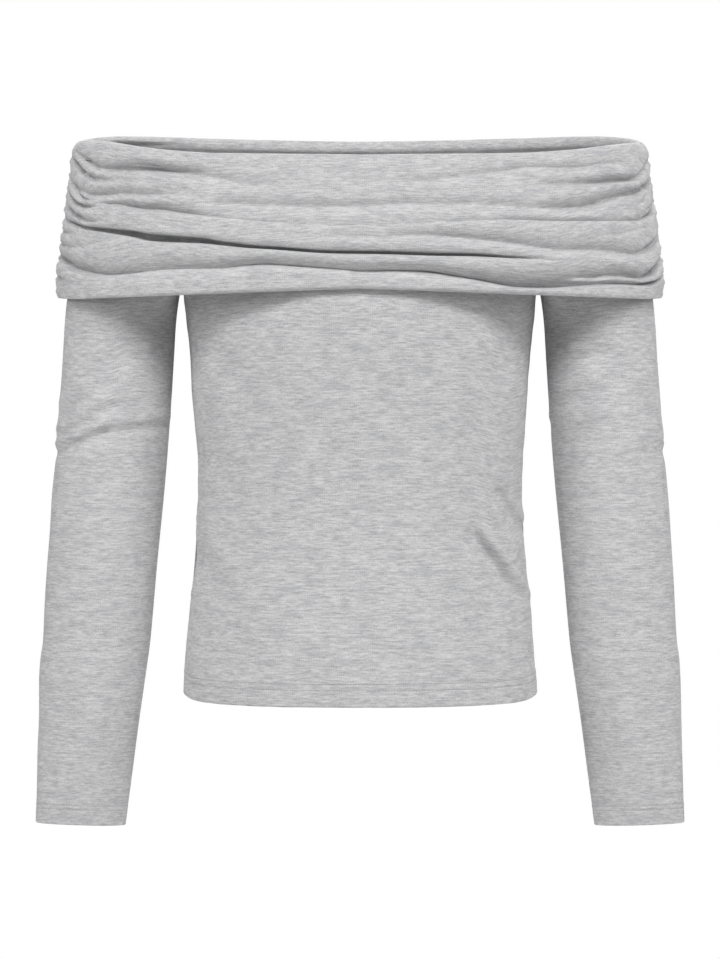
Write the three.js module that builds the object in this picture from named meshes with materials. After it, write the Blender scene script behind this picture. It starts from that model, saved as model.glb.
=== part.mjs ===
// An off-shoulder top in grey jersey with long sleeves and a wide ruched band folded over at the neckline.
// It is hollow and keeps the shape that it has when worn. Millimetres, +Z up, and the front faces -Y.
// The origin is the middle of the neckline, level with the two shoulder ends of its top edge.
import * as THREE from "three";

// Cloth and seams
const JERSEY_WALL = 1.5;
const TURNED_WALL = 2.5;
const BAND_WALL = 2.7;
const SEAM_GAP = 0.3;
const HEM_TURN_UP = 21;
const CUFF_TURN_UP = 19;
const TURN_UP_STEP = 1;

// Where the torso and the sleeves meet
const UNDERARM_HEIGHT = -89;
const UNDERARM_GAP = 0.4;
const ARMHOLE_SCOOP = { lowIn: 2, lowReach: 38, highIn: 3, highReach: 18, highDrop: 34 };
const ARMHOLE_TURN = 35;
const ARMHOLE_SHARE = 0.24;
const NECK_BLEND_END = -172;

// Roundness of each piece's plan, as the exponent of a superellipse
const TORSO_ROUNDNESS = 2.2;
const SLEEVE_ROUNDNESS = 2;
const BAND_ROUNDNESS = 2.1;

// The band's top roll, and the ledge inside it that the body and sleeves hang from
const ROLL_DEPTH = 9.5;
const ROLL_DROP = 15;
const NECK_SEAM_COVER = 0.4;
const NECK_SEAM_INSET = ROLL_DEPTH - JERSEY_WALL - NECK_SEAM_COVER;

const TORSO = [
  { z: -60, halfWidth: 157.2, front: 100, back: 95.5 },
  { z: -100, halfWidth: 157.2, front: 101, back: 96 },
  { z: -136, halfWidth: 156.5, front: 101.5, back: 95.5 },
  { z: -194, halfWidth: 151.3, front: 99.5, back: 93 },
  { z: -230, halfWidth: 148.8, front: 97, back: 90 },
  { z: -265, halfWidth: 146, front: 93.5, back: 87 },
  { z: -310, halfWidth: 144, front: 90, back: 85 },
  { z: -336, halfWidth: 145, front: 89.5, back: 86.5 },
  { z: -372, halfWidth: 147.5, front: 91, back: 91 },
  { z: -408, halfWidth: 150.9, front: 93.5, back: 95 },
  { z: -443, halfWidth: 153.7, front: 96, back: 98 },
  { z: -479, halfWidth: 157, front: 98, back: 100 },
  { z: -498, halfWidth: 157.4, front: 98.4, back: 100.4 },
];

const SLEEVE = [
  { z: -80, centre: 211, halfWidth: 49.6, halfDepth: 47, forward: 0 },
  { z: -142, centre: 212.4, halfWidth: 49.4, halfDepth: 46, forward: 0 },
  { z: -230, centre: 217.5, halfWidth: 49.6, halfDepth: 45, forward: 0 },
  { z: -301, centre: 223, halfWidth: 49.8, halfDepth: 43, forward: 1 },
  { z: -372, centre: 228.8, halfWidth: 48.8, halfDepth: 40.5, forward: 3 },
  { z: -443, centre: 234, halfWidth: 47.8, halfDepth: 37, forward: 5 },
  { z: -461, centre: 236.2, halfWidth: 47.7, halfDepth: 36, forward: 6 },
  { z: -514, centre: 240.6, halfWidth: 44.6, halfDepth: 31, forward: 8 },
  { z: -568, centre: 244.6, halfWidth: 41.7, halfDepth: 24, forward: 10 },
  { z: -607, centre: 248, halfWidth: 39.8, halfDepth: 18, forward: 11 },
];

const BAND = [
  { z: 14, halfWidth: 249, front: 105, back: 100 },
  { z: 0, halfWidth: 253, front: 107.5, back: 102 },
  { z: -10, halfWidth: 256.5, front: 109, back: 103 },
  { z: -18, halfWidth: 257.8, front: 110, back: 104 },
  { z: -50, halfWidth: 261.8, front: 113.5, back: 107 },
  { z: -75, halfWidth: 265.5, front: 115.5, back: 109 },
  { z: -95, halfWidth: 268, front: 116.5, back: 110 },
  { z: -112, halfWidth: 270.3, front: 117, back: 110.5 },
  { z: -126, halfWidth: 271, front: 117.5, back: 111 },
  { z: -145, halfWidth: 268, front: 117, back: 111 },
];

// Heights round the ring. The turn is 0 at the front middle, 90 at a shoulder and 180 at the back middle.
const BAND_TOP = [
  { turn: 0, z: -21.3 },
  { turn: 30, z: -18.5 },
  { turn: 45, z: -14 },
  { turn: 58, z: -8.5 },
  { turn: 68, z: -5 },
  { turn: 80, z: -2 },
  { turn: 90, z: 1 },
  { turn: 105, z: 6 },
  { turn: 120, z: 10 },
  { turn: 140, z: 11.3 },
  { turn: 180, z: 10 },
];
const BAND_BOTTOM = [
  { turn: 0, z: -137 },
  { turn: 35, z: -141.5 },
  { turn: 65, z: -142.5 },
  { turn: 80, z: -140.5 },
  { turn: 90, z: -138.5 },
  { turn: 110, z: -132 },
  { turn: 180, z: -127 },
];
const HEM = [
  { turn: 0, z: -496.3 },
  { turn: 30, z: -496 },
  { turn: 60, z: -494.5 },
  { turn: 75, z: -492 },
  { turn: 90, z: -487 },
];

// The band's gathered folds, from one shoulder seam to the other. Each row is one crease, top to bottom:
// its height and its depth at seven turns round the ring, from the left shoulder to the right.
const FOLD_TURNS = [-90, -65, -35, 0, 35, 65, 90];
const FRONT_FOLDS = [
  { height: [-22, -28, -35, -40, -44, -38, -24], depth: [1.5, 3.5, 2.5, 1.5, 3, 3.5, 1.5] },
  { height: [-42, -50, -57, -61, -63, -58, -46], depth: [1.5, 2.5, 2, 2.5, 2.5, 3, 1.5] },
  { height: [-66, -82, -95, -105, -109, -104, -86], depth: [2, 7, 9, 8.5, 5.5, 4, 2] },
  { height: [-106, -120, -117, -118, -131, -131, -118], depth: [2, 6, 4.5, 4, 7.5, 7.5, 2.5] },
];
const BACK_FOLDS = [
  { height: [-24, -22, -14, -12, -18, -27, -22], depth: [1.5, 3, 3, 2, 2.5, 3, 1.5] },
  { height: [-46, -50, -40, -37, -34, -44, -42], depth: [1.5, 3, 2, 3, 3, 2.5, 1.5] },
  { height: [-86, -84, -78, -70, -66, -70, -66], depth: [1.5, 4, 5.5, 6, 5, 4, 2] },
  { height: [-118, -112, -104, -100, -106, -114, -106], depth: [2, 4, 5, 4, 5, 4.5, 2] },
];
const FOLD_REACH_ABOVE = 13;
const FOLD_REACH_BELOW = 5.5;

// Creases in the jersey. Each is a soft trough, or a ridge if its depth is negative, between two points.
const TORSO_CREASES = [
  { x0: 98, z0: -335, x1: 146, z1: -424, reach: 11, depth: 4.5 },
  { x0: 118, z0: -318, x1: 146, z1: -368, reach: 8, depth: 3 },
  { x0: 109, z0: -350, x1: 137, z1: -400, reach: 7, depth: -2.5 },
  { x0: -146, z0: -352, x1: -104, z1: -410, reach: 12, depth: 3 },
];
const SLEEVE_CREASES = [
  { x0: -262, z0: -278, x1: -205, z1: -252, reach: 9, depth: 4.5 },
  { x0: -262, z0: -252, x1: -222, z1: -236, reach: 7, depth: 3 },
  { x0: 265, z0: -262, x1: 212, z1: -284, reach: 11, depth: 3 },
];

const GREY_MELANGE = "#c4c4c3";

const clamp = THREE.MathUtils.clamp;
const lerp = THREE.MathUtils.lerp;
const smooth = (t) => t * t * (3 - 2 * t);
const range = (count) => Array.from({ length: count + 1 }, (_, i) => i / count);

// A table's named column at a place along its key column, on a smooth curve through the rows.
function along(table, key, at, name) {
  const last = table.length - 1;
  const direction = Math.sign(table[last][key] - table[0][key]);
  let k = 0;
  while (k < last - 1 && direction * (at - table[k + 1][key]) > 0) k++;
  const span = table[k + 1][key] - table[k][key];
  const t = clamp((at - table[k][key]) / span, 0, 1);
  const slope = (i) => {
    const before = table[Math.max(i - 1, 0)];
    const after = table[Math.min(i + 1, last)];
    return ((after[name] - before[name]) / (after[key] - before[key])) * span;
  };
  const rise = smooth(t);
  const bend = t * (1 - t) * ((1 - t) * slope(k) - t * slope(k + 1));
  return lerp(table[k][name], table[k + 1][name], rise) + bend;
}

// The same for one list of values at the seven turns of a fold.
function roundTheBand(values, turn) {
  const table = values.map((value, i) => ({ turn: FOLD_TURNS[i], value }));
  return along(table, "turn", turn, "value");
}

// A point of a superellipse and its outward direction. The turn is 0 at the front and 90 at +X.
function oval(turn, halfWidth, front, back, roundness) {
  const angle = THREE.MathUtils.degToRad(turn);
  const sine = Math.sin(angle);
  const cosine = Math.cos(angle);
  const depth = cosine >= 0 ? front : back;
  const x = halfWidth * Math.sign(sine) * Math.abs(sine) ** (2 / roundness);
  const y = -depth * Math.sign(cosine) * Math.abs(cosine) ** (2 / roundness);
  const outX = (Math.sign(x) * Math.abs(x / halfWidth) ** (roundness - 1)) / halfWidth;
  const outY = (Math.sign(y) * Math.abs(y / depth) ** (roundness - 1)) / depth;
  const length = Math.hypot(outX, outY);
  return { x, y, outX: outX / length, outY: outY / length };
}

// A point out from the band's plain form at a height and turn.
function bandPoint(turn, z, out) {
  const halfWidth = along(BAND, "z", z, "halfWidth");
  const front = along(BAND, "z", z, "front");
  const back = along(BAND, "z", z, "back");
  const p = oval(turn, halfWidth, front, back, BAND_ROUNDNESS);
  return new THREE.Vector3(p.x + out * p.outX, p.y + out * p.outY, z);
}

const bandTop = (turn) => along(BAND_TOP, "turn", Math.abs(turn), "z");
const bandBottom = (turn) => along(BAND_BOTTOM, "turn", Math.abs(turn), "z");

// The neckline seam, under the ledge of the band's roll.
function neckPoint(turn) {
  return bandPoint(turn, bandTop(turn) - ROLL_DROP - SEAM_GAP, -NECK_SEAM_INSET);
}

// The armhole seam from the underarm, share 0, to the neckline, share 1.
// Side is -1 on the left and 1 on the right. Face is -1 at the front and 1 at the back.
function armholePoint(share, side, face) {
  const neck = neckPoint(face < 0 ? ARMHOLE_TURN : 180 - ARMHOLE_TURN);
  const torsoSide = along(TORSO, "z", UNDERARM_HEIGHT, "halfWidth");
  const scoop = ARMHOLE_SCOOP;
  const underarm = new THREE.Vector3(torsoSide + UNDERARM_GAP, 0, UNDERARM_HEIGHT);
  const lowPull = new THREE.Vector3(underarm.x - scoop.lowIn, face * scoop.lowReach, UNDERARM_HEIGHT);
  const highPull = neck.clone();
  highPull.x -= scoop.highIn;
  highPull.y -= face * scoop.highReach;
  highPull.z -= scoop.highDrop;
  const seam = new THREE.CubicBezierCurve3(underarm, lowPull, highPull, neck);
  const p = seam.getPoint(share);
  return new THREE.Vector3(side * p.x, p.y, p.z);
}

// How far a point of the cloth is pulled in by the creases near it.
function pulledIn(creases, x, z) {
  let depth = 0;
  for (const c of creases) {
    const runX = c.x1 - c.x0;
    const runZ = c.z1 - c.z0;
    const length = Math.hypot(runX, runZ);
    const t = ((x - c.x0) * runX + (z - c.z0) * runZ) / length ** 2;
    const aside = ((x - c.x0) * runZ - (z - c.z0) * runX) / length / c.reach;
    const fade = smooth(clamp(t * 3, 0, 1)) * smooth(clamp((1 - t) * 3, 0, 1));
    depth += c.depth * fade * Math.exp(-aside * aside);
  }
  return depth;
}

// Joins a row of closed loops of points into one closed surface. With `ring` the last loop meets the first;
// otherwise both ends are closed, flat in X and Z, which is how the seams at the sides lie.
function loft(loops, ring) {
  const size = loops[0].length;
  const positions = loops.flat().flatMap((p) => [p.x, p.y, p.z]);
  const index = [];
  const spans = ring ? loops.length : loops.length - 1;
  for (let i = 0; i < spans; i++) {
    const next = (i + 1) % loops.length;
    for (let j = 0; j < size; j++) {
      const k = (j + 1) % size;
      const [a, b] = [i * size + j, next * size + j];
      const [c, d] = [next * size + k, i * size + k];
      index.push(a, b, c, a, c, d);
    }
  }
  if (!ring)
    for (const [i, flip] of [[0, false], [loops.length - 1, true]]) {
      const outline = loops[i].map((p) => new THREE.Vector2(p.x, p.z));
      const wanted = THREE.ShapeUtils.isClockWise(outline);
      for (const face of THREE.ShapeUtils.triangulateShape(outline, [])) {
        const [a, b, c] = face.map((j) => i * size + j);
        const [p, q, r] = face.map((j) => outline[j]);
        const clockwise = (q.x - p.x) * (r.y - p.y) - (q.y - p.y) * (r.x - p.x) < 0;
        const same = clockwise === wanted;
        index.push(...(same !== flip ? [a, b, c] : [a, c, b]));
      }
    }
  const geometry = new THREE.BufferGeometry();
  geometry.setAttribute("position", new THREE.Float32BufferAttribute(positions, 3));
  geometry.setIndex(index);
  if (volumeOf(positions, index) < 0) geometry.setIndex(index.reverse());
  return geometry;
}

function volumeOf(positions, index) {
  const point = (i) => new THREE.Vector3().fromArray(positions, index[i] * 3);
  let sum = 0;
  for (let i = 0; i < index.length; i += 3) sum += point(i).dot(point(i + 1).cross(point(i + 2)));
  return sum / 6;
}

// Outward directions of a grid of points, columns of rows, as seen from the axis point of each row.
function gridNormals(grid, ring, axisOf) {
  const count = grid.length;
  return grid.map((column, i) =>
    column.map((point, j) => {
      const before = ring ? grid[(i + count - 1) % count][j] : grid[Math.max(i - 1, 0)][j];
      const after = ring ? grid[(i + 1) % count][j] : grid[Math.min(i + 1, count - 1)][j];
      const across = after.clone().sub(before);
      const down = column[Math.min(j + 1, column.length - 1)].clone().sub(column[Math.max(j - 1, 0)]);
      const normal = across.cross(down).normalize();
      const outward = point.clone().sub(axisOf(point));
      return normal.dot(outward) < 0 ? normal.negate() : normal;
    }),
  );
}

// A wall of cloth behind a grid of outer points.
// Each column becomes a loop down the outside and up the inside.
function wall(grid, ring, axisOf, thicknessAt) {
  const normals = gridNormals(grid, ring, axisOf);
  const loops = grid.map((column, i) => {
    const inner = column.map((p, j) => p.clone().addScaledVector(normals[i][j], -thicknessAt(j)));
    return [...column, ...inner.reverse()];
  });
  return loft(loops, ring);
}

function piece(name, geometry) {
  const material = new THREE.MeshStandardMaterial({ color: GREY_MELANGE, roughness: 0.9, metalness: 0 });
  const mesh = new THREE.Mesh(geometry, material);
  mesh.name = name;
  return mesh;
}

// The rim of a panel pulls its upper rows from the plain section towards itself, and lets go further down.
function blendRows(rim, plainAt, blendRowCount, lowerHeights) {
  const plainRim = plainAt(rim.z);
  const rows = range(blendRowCount).map((t) => {
    const z = lerp(rim.z, NECK_BLEND_END, t);
    const plain = plainAt(z);
    const hold = 1 - smooth(t);
    return new THREE.Vector3(
      plain.x + (rim.x - plainRim.x) * hold,
      plain.y + (rim.y - plainRim.y) * hold,
      z,
    );
  });
  return [...rows, ...lowerHeights.map((z) => plainAt(z))];
}

const HEM_ROLL = 7;
const TORSO_BLEND_ROWS = 6;
const TORSO_ROWS = [-205, -240, -275, -305, -322, -338, -350, -362, -374, -386, -398, -412, -430, -452];
const TORSO_NECK_COLUMNS = 14;
const TORSO_SIDE_COLUMNS = 4;

// The front or back of the body: neckline, two armhole curves, side seams and hem. Face -1 is the front.
function bodyPanel(name, face) {
  const neckShare = 1 - ARMHOLE_SHARE;
  const neck = range(TORSO_NECK_COLUMNS).map((t) => (2 * t - 1) * neckShare);
  const side = range(TORSO_SIDE_COLUMNS).slice(1).map((t) => neckShare + t * ARMHOLE_SHARE);
  const across = [...side.map((u) => -u).reverse(), ...neck, ...side];
  const grid = across.map((u) => {
    const turn = 90 * Math.abs(u);
    const sectionTurn = face < 0 ? turn : 180 - turn;
    const direction = Math.sign(u) || 1;
    const plainAt = (z) => {
      const p = oval(
        sectionTurn,
        along(TORSO, "z", z, "halfWidth"),
        along(TORSO, "z", z, "front"),
        along(TORSO, "z", z, "back"),
        TORSO_ROUNDNESS,
      );
      const crease = pulledIn(TORSO_CREASES, face < 0 ? direction * p.x : -direction * p.x, z);
      return new THREE.Vector3(
        direction * (p.x - crease * p.outX),
        p.y - crease * p.outY + (face * SEAM_GAP) / 2,
        z,
      );
    };
    let rim;
    if (Math.abs(u) <= neckShare + 1e-9) {
      const ringTurn = (Math.abs(u) / neckShare) * ARMHOLE_TURN;
      rim = neckPoint(face < 0 ? ringTurn : 180 - ringTurn);
      rim.x *= direction;
    } else rim = armholePoint((1 - Math.abs(u)) / ARMHOLE_SHARE, direction, face);
    rim.x -= direction * SEAM_GAP * smooth(clamp(Math.abs(u) / neckShare, 0, 1));
    rim.y += (face * SEAM_GAP) / 2;
    const hem = along(HEM, "turn", turn, "z");
    const turnUp = hem + HEM_TURN_UP;
    const lowerHeights = [...TORSO_ROWS, turnUp + TURN_UP_STEP, turnUp, hem + HEM_ROLL, hem];
    return blendRows(rim, plainAt, TORSO_BLEND_ROWS, lowerHeights);
  });
  const last = grid[0].length - 1;
  const axisOf = (p) => new THREE.Vector3(0, 0, p.z);
  return piece(name, wall(grid, false, axisOf, (j) => (j >= last - 2 ? TURNED_WALL : JERSEY_WALL)));
}

const CUFF_OUTER = -603.5;
const CUFF_INNER = -606;
const SLEEVE_BLEND_ROWS = 7;
const SLEEVE_ROWS = [
  -203, -226, -237, -247, -256, -265, -275, -288, -315, -350, -390, -430, -470, -510, -548,
];
const SLEEVE_RING_COLUMNS = 14;
const SLEEVE_ARMHOLE_COLUMNS = 4;
const SLEEVE_ARMHOLE_ANGLE = 48;

// A sleeve: a tube that opens at the top into the neckline and the armhole, and ends at the cuff.
function sleeve(name, side) {
  const armhole = range(SLEEVE_ARMHOLE_COLUMNS);
  const ringSpan = 180 - 2 * ARMHOLE_TURN;
  const tubeSpan = 360 - 2 * SLEEVE_ARMHOLE_ANGLE;
  const columns = [
    ...armhole.slice(0, -1).map((t) => ({
      angle: t * SLEEVE_ARMHOLE_ANGLE,
      rim: armholePoint(t, side, -1),
    })),
    ...range(SLEEVE_RING_COLUMNS).map((t) => ({
      angle: SLEEVE_ARMHOLE_ANGLE + t * tubeSpan,
      rim: neckPoint(side * (ARMHOLE_TURN + t * ringSpan)),
    })),
    ...armhole.slice(1, -1).reverse().map((t) => ({
      angle: 360 - t * SLEEVE_ARMHOLE_ANGLE,
      rim: armholePoint(t, side, 1),
    })),
  ];
  const grid = columns.map(({ angle, rim }) => {
    const plainAt = (z) => {
      const halfWidth = along(SLEEVE, "z", z, "halfWidth");
      const halfDepth = along(SLEEVE, "z", z, "halfDepth");
      const p = oval(angle - 90, halfWidth, halfDepth, halfDepth, SLEEVE_ROUNDNESS);
      const x = along(SLEEVE, "z", z, "centre") + p.x;
      const crease = pulledIn(SLEEVE_CREASES, p.y <= 0 ? side * x : -side * x, z);
      return new THREE.Vector3(
        side * (x - crease * p.outX),
        p.y - crease * p.outY - along(SLEEVE, "z", z, "forward"),
        z,
      );
    };
    rim.x += side * SEAM_GAP;
    const inner = (Math.cos(THREE.MathUtils.degToRad(angle)) + 1) / 2;
    const cuff = lerp(CUFF_OUTER, CUFF_INNER, inner);
    const turnUp = cuff + CUFF_TURN_UP;
    const lowerHeights = [...SLEEVE_ROWS, turnUp + TURN_UP_STEP, turnUp, cuff];
    return blendRows(rim, plainAt, SLEEVE_BLEND_ROWS, lowerHeights);
  });
  const last = grid[0].length - 1;
  const axisOf = (p) => {
    const forward = along(SLEEVE, "z", p.z, "forward");
    return new THREE.Vector3(side * along(SLEEVE, "z", p.z, "centre"), -forward, p.z);
  };
  return piece(name, wall(grid, true, axisOf, (j) => (j >= last - 1 ? TURNED_WALL : JERSEY_WALL)));
}

const BAND_COLUMN_STEP = 5;
const BAND_EDGE_HEIGHT = 8;
const BAND_EDGE_ROUND = 2.5;
const BAND_EDGE_FULLNESS = 1.8;
const BAND_EDGE_TUCK = 0.3;
const BAND_EDGE_RISE = 1;
const ROLL_FOOT = 10;
const FOLD_ROW_SHARES = [0, 0.14, 0.4, 0.72];
const FIRST_INNER_ROW = 4;
const INNER_ROW_STEP = 2;
const ROLL_OUTSIDE = [
  { out: -ROLL_DEPTH, drop: ROLL_DROP },
  { out: -ROLL_DEPTH, drop: 5.5 },
  { out: -ROLL_DEPTH + 1.6, drop: 1.6 },
  { out: -ROLL_DEPTH / 2 - 0.6, drop: 0 },
  { out: -2.2, drop: 1.6 },
  { out: -0.5, drop: 5.5 },
];

// How far the gathers move the band's cloth in or out at a height: in at the creases, out between them.
function foldOut(folds, turn, z) {
  let out = 0;
  for (const fold of folds) {
    const away = z - roundTheBand(fold.height, turn);
    const reach = away > 0 ? FOLD_REACH_ABOVE : FOLD_REACH_BELOW;
    out -= roundTheBand(fold.depth, turn) * Math.exp(-((away / reach) ** 2));
  }
  return out;
}

// The front or back of the band: a ring of double cloth, rolled over at the top and folded at the bottom.
function bandPanel(name, folds, face) {
  const turns = range(180 / BAND_COLUMN_STEP).map((t) => -90 + 180 * t);
  const loops = turns.map((turn) => {
    const ringTurn = face < 0 ? turn : Math.sign(turn || 1) * (180 - Math.abs(turn));
    const top = bandTop(ringTurn);
    const bottom = bandBottom(ringTurn);
    const edge = bottom + BAND_EDGE_HEIGHT;
    const lines = [top - ROLL_FOOT, ...folds.map((fold) => roundTheBand(fold.height, turn)), edge];
    const between = (z, i) => FOLD_ROW_SHARES.map((t) => lerp(z, lines[i + 1], t));
    const heights = lines.slice(0, -1).flatMap(between);
    const edgeDepth = BAND_WALL + BAND_EDGE_FULLNESS * Math.cos(THREE.MathUtils.degToRad(turn)) ** 2;
    const lowest = foldOut(folds, turn, edge);
    const outer = heights.map((z) => ({ z, out: foldOut(folds, turn, z) }));
    const underside = [
      { z: edge, out: lowest },
      { z: bottom + BAND_EDGE_ROUND, out: lowest - BAND_EDGE_TUCK },
      { z: bottom, out: lowest - edgeDepth / 2 },
      { z: bottom + BAND_EDGE_ROUND, out: lowest - edgeDepth },
      { z: edge + BAND_EDGE_RISE, out: lowest - edgeDepth },
    ];
    const isInnerRow = (_, i) => i >= FIRST_INNER_ROW && i % INNER_ROW_STEP === 0;
    const behind = heights.filter(isInnerRow).reverse();
    const inner = behind.map((z) => ({ z, out: foldOut(folds, turn, z) - BAND_WALL }));
    inner.push({ z: top - ROLL_DROP, out: -BAND_WALL });
    const roll = ROLL_OUTSIDE.map((r) => ({ z: top - r.drop, out: r.out }));
    return [...roll, ...outer, ...underside, ...inner].map(({ z, out }) => {
      const p = bandPoint(ringTurn, z, out);
      p.y += (face * SEAM_GAP) / 2;
      return p;
    });
  });
  return piece(name, loft(loops, false));
}

const garment = new THREE.Group();
garment.add(
  bodyPanel("body_front", -1),
  bodyPanel("body_back", 1),
  sleeve("sleeve_left", -1),
  sleeve("sleeve_right", 1),
  bandPanel("band_front", FRONT_FOLDS, -1),
  bandPanel("band_back", BACK_FOLDS, 1),
);

export default garment;
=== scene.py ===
# %% [markdown]
# # An off-shoulder top in grey melange jersey
# The top is a tube for the body, two long sleeves and a wide double band that is gathered at the two
# shoulder seams and folded over at the neckline. It is hollow and keeps the shape that it has when worn.
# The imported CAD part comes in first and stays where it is. Each piece of cloth made here stands for one
# of its solids, with the same main form and all the fine folds that the solids leave out.

# %% Load the part
import math

import bmesh
import bpy
import numpy as np
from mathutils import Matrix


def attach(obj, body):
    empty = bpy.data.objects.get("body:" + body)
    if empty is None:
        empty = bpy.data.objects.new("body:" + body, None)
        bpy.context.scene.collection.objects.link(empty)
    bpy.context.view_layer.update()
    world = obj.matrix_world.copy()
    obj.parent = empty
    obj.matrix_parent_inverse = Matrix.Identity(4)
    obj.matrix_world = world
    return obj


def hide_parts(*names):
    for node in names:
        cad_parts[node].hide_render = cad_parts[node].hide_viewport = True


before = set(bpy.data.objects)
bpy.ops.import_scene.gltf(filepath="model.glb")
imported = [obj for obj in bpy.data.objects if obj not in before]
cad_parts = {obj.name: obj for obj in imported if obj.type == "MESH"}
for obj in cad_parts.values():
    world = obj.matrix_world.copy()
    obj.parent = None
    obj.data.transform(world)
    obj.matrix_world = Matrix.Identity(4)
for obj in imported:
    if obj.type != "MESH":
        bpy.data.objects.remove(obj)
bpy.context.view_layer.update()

# %% [markdown]
# The camera looks straight at the front from 3 m away with a long lens, as a photographer of clothes
# would place it. It is level with the middle of the top, so upright edges stay upright. The lens comes
# from how much the picture shows: 959 pixels of 0.89 mm each at the distance of the origin.

# %% Camera
PICTURE_HEIGHT = 959 * 0.00089
CAMERA_DISTANCE = 3.0
CAMERA_HEIGHT = -0.3004
SENSOR = 36

camera_data = bpy.data.cameras.new("camera")
camera_data.sensor_width = SENSOR
camera_data.lens = SENSOR * CAMERA_DISTANCE / PICTURE_HEIGHT
camera = bpy.data.objects.new("camera", camera_data)
camera.location = (0, -CAMERA_DISTANCE, CAMERA_HEIGHT)
camera.rotation_euler = (math.radians(90), 0, 0)
bpy.context.scene.collection.objects.link(camera)
bpy.context.scene.camera = camera
print("lens", round(camera_data.lens, 1), "mm")

# %% [markdown]
# Soft light from in front and above draws the folds: the step under each crease faces up and is bright,
# and the cloth gets darker as it turns down to the next crease. A big lamp gives shadows with soft
# edges. A weak even light from all round keeps the hollows from going black, and the background is
# white wherever the camera sees past the floor.

# %% Lamps
LAMPS = [
    {"name": "key", "place": (0.3, -3.3, 2.9), "wide": 6.0, "high": 1.2, "watts": 206},
    {"name": "left side", "place": (-2.3, -1.2, 0.6), "wide": 0.8, "high": 1.3, "watts": 27},
    {"name": "right side", "place": (2.3, -1.2, 0.6), "wide": 0.8, "high": 1.3, "watts": 25},
    {"name": "back key", "place": (0.3, 3.0, 2.6), "wide": 5.0, "high": 1.2, "watts": 165},
]
AIM = (0, 0, -0.3)
AMBIENT = 0.08


def add_lamp(name, place, wide, high, watts):
    lamp_data = bpy.data.lights.new(name, "AREA")
    lamp_data.shape = "RECTANGLE"
    lamp_data.size = wide
    lamp_data.size_y = high
    lamp_data.energy = watts
    lamp = bpy.data.objects.new(name, lamp_data)
    lamp.location = place
    toward = [aim - at for aim, at in zip(AIM, place)]
    across = math.hypot(toward[0], toward[1])
    lamp.rotation_euler = (math.atan2(across, -toward[2]), 0, math.atan2(-toward[0], toward[1]))
    bpy.context.scene.collection.objects.link(lamp)
    return lamp


for row in LAMPS:
    add_lamp(**row)
print(len(LAMPS), "lamps")

# %% Surroundings
world = bpy.data.worlds.new("studio")
bpy.context.scene.world = world
world.use_nodes = True
sky = world.node_tree.nodes["Background"]
rays = world.node_tree.nodes.new("ShaderNodeLightPath")
seen = world.node_tree.nodes.new("ShaderNodeMapRange")
seen.inputs["To Min"].default_value = AMBIENT
seen.inputs["To Max"].default_value = 1.0
world.node_tree.links.new(rays.outputs["Is Camera Ray"], seen.inputs["Value"])
world.node_tree.links.new(seen.outputs["Result"], sky.inputs["Strength"])
sky.inputs["Color"].default_value = (1, 1, 1, 1)
bpy.context.scene.view_settings.view_transform = "Standard"
print("ambient light", AMBIENT)

# %% [markdown]
# The sizes below are in millimetres, and each mesh is made in metres. A short table gives the half
# width and the two depths of a piece at some heights. A smooth curve through its rows gives the rest,
# and the plan at any height is a rounded oval. The same numbers shape the CAD solids, so the cloth
# lies on them everywhere.

# %% Curves and ovals
MM = 0.001


def along(keys, values, at):
    """Values at some places on a smooth curve through a table's rows."""
    keys = np.asarray(keys, float)
    values = np.asarray(values, float)
    if keys[0] > keys[-1]:
        keys, values = keys[::-1], values[::-1]
    at = np.clip(at, keys[0], keys[-1])
    k = np.clip(np.searchsorted(keys, at, side="right") - 1, 0, len(keys) - 2)
    before = np.maximum(np.arange(len(keys)) - 1, 0)
    after = np.minimum(np.arange(len(keys)) + 1, len(keys) - 1)
    slopes = (values[after] - values[before]) / (keys[after] - keys[before])
    span = keys[k + 1] - keys[k]
    t = (at - keys[k]) / span
    rise = smooth(t)
    bend = t * (1 - t) * ((1 - t) * slopes[k] - t * slopes[k + 1]) * span
    return values[k] + (values[k + 1] - values[k]) * rise + bend


def smooth(t):
    """A soft step from 0 to 1 as t goes from 0 to 1."""
    t = np.clip(t, 0, 1)
    return t * t * (3 - 2 * t)


def column(table, key, name, at):
    """One size of a table of sections, at some heights."""
    return along([row[key] for row in table], [row[name] for row in table], at)


def oval(turn, half_width, front, back, roundness):
    """Points of a rounded oval and the directions out of it. The turn is 0 at the front and 90 at +X."""
    sine = np.sin(np.radians(turn))
    cosine = np.cos(np.radians(turn))
    depth = np.where(cosine >= 0, front, back)
    x = half_width * np.sign(sine) * np.abs(sine) ** (2 / roundness)
    y = -depth * np.sign(cosine) * np.abs(cosine) ** (2 / roundness)
    out_x = np.sign(x) * np.abs(x / half_width) ** (roundness - 1) / half_width
    out_y = np.sign(y) * np.abs(y / depth) ** (roundness - 1) / depth
    length = np.hypot(out_x, out_y)
    return x, y, out_x / length, out_y / length


WAVES = 5


def drift(a, b, size, seed):
    """A gentle uneven swell between about -1 and 1 over a surface, the same on every run."""
    random = np.random.default_rng(seed)
    total = 0
    for _ in range(WAVES):
        heading = random.uniform(0, 2 * math.pi)
        scale = 2 * math.pi / (size * random.uniform(0.7, 1.6))
        phase = random.uniform(0, 2 * math.pi)
        total = total + np.sin(scale * (a * math.cos(heading) + b * math.sin(heading)) + phase)
    return total / 3


print("half way up, a curve through 0, 1 and 0 is at", along([0, 1, 2], [0, 1, 0], 0.5))


# %% [markdown]
# Every piece of cloth is a closed thin shell: a grid of points on the outside, a second grid one cloth
# thickness behind it, and rounded edges between the two. A single sheet of faces would look the same
# from the front, but it would have no thickness at the hem and cuffs. The grid also gives each point
# its place on the flat cloth, in metres, so that the flecks of the melange follow the folds.

# %% Shells
JERSEY = 0.9


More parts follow.
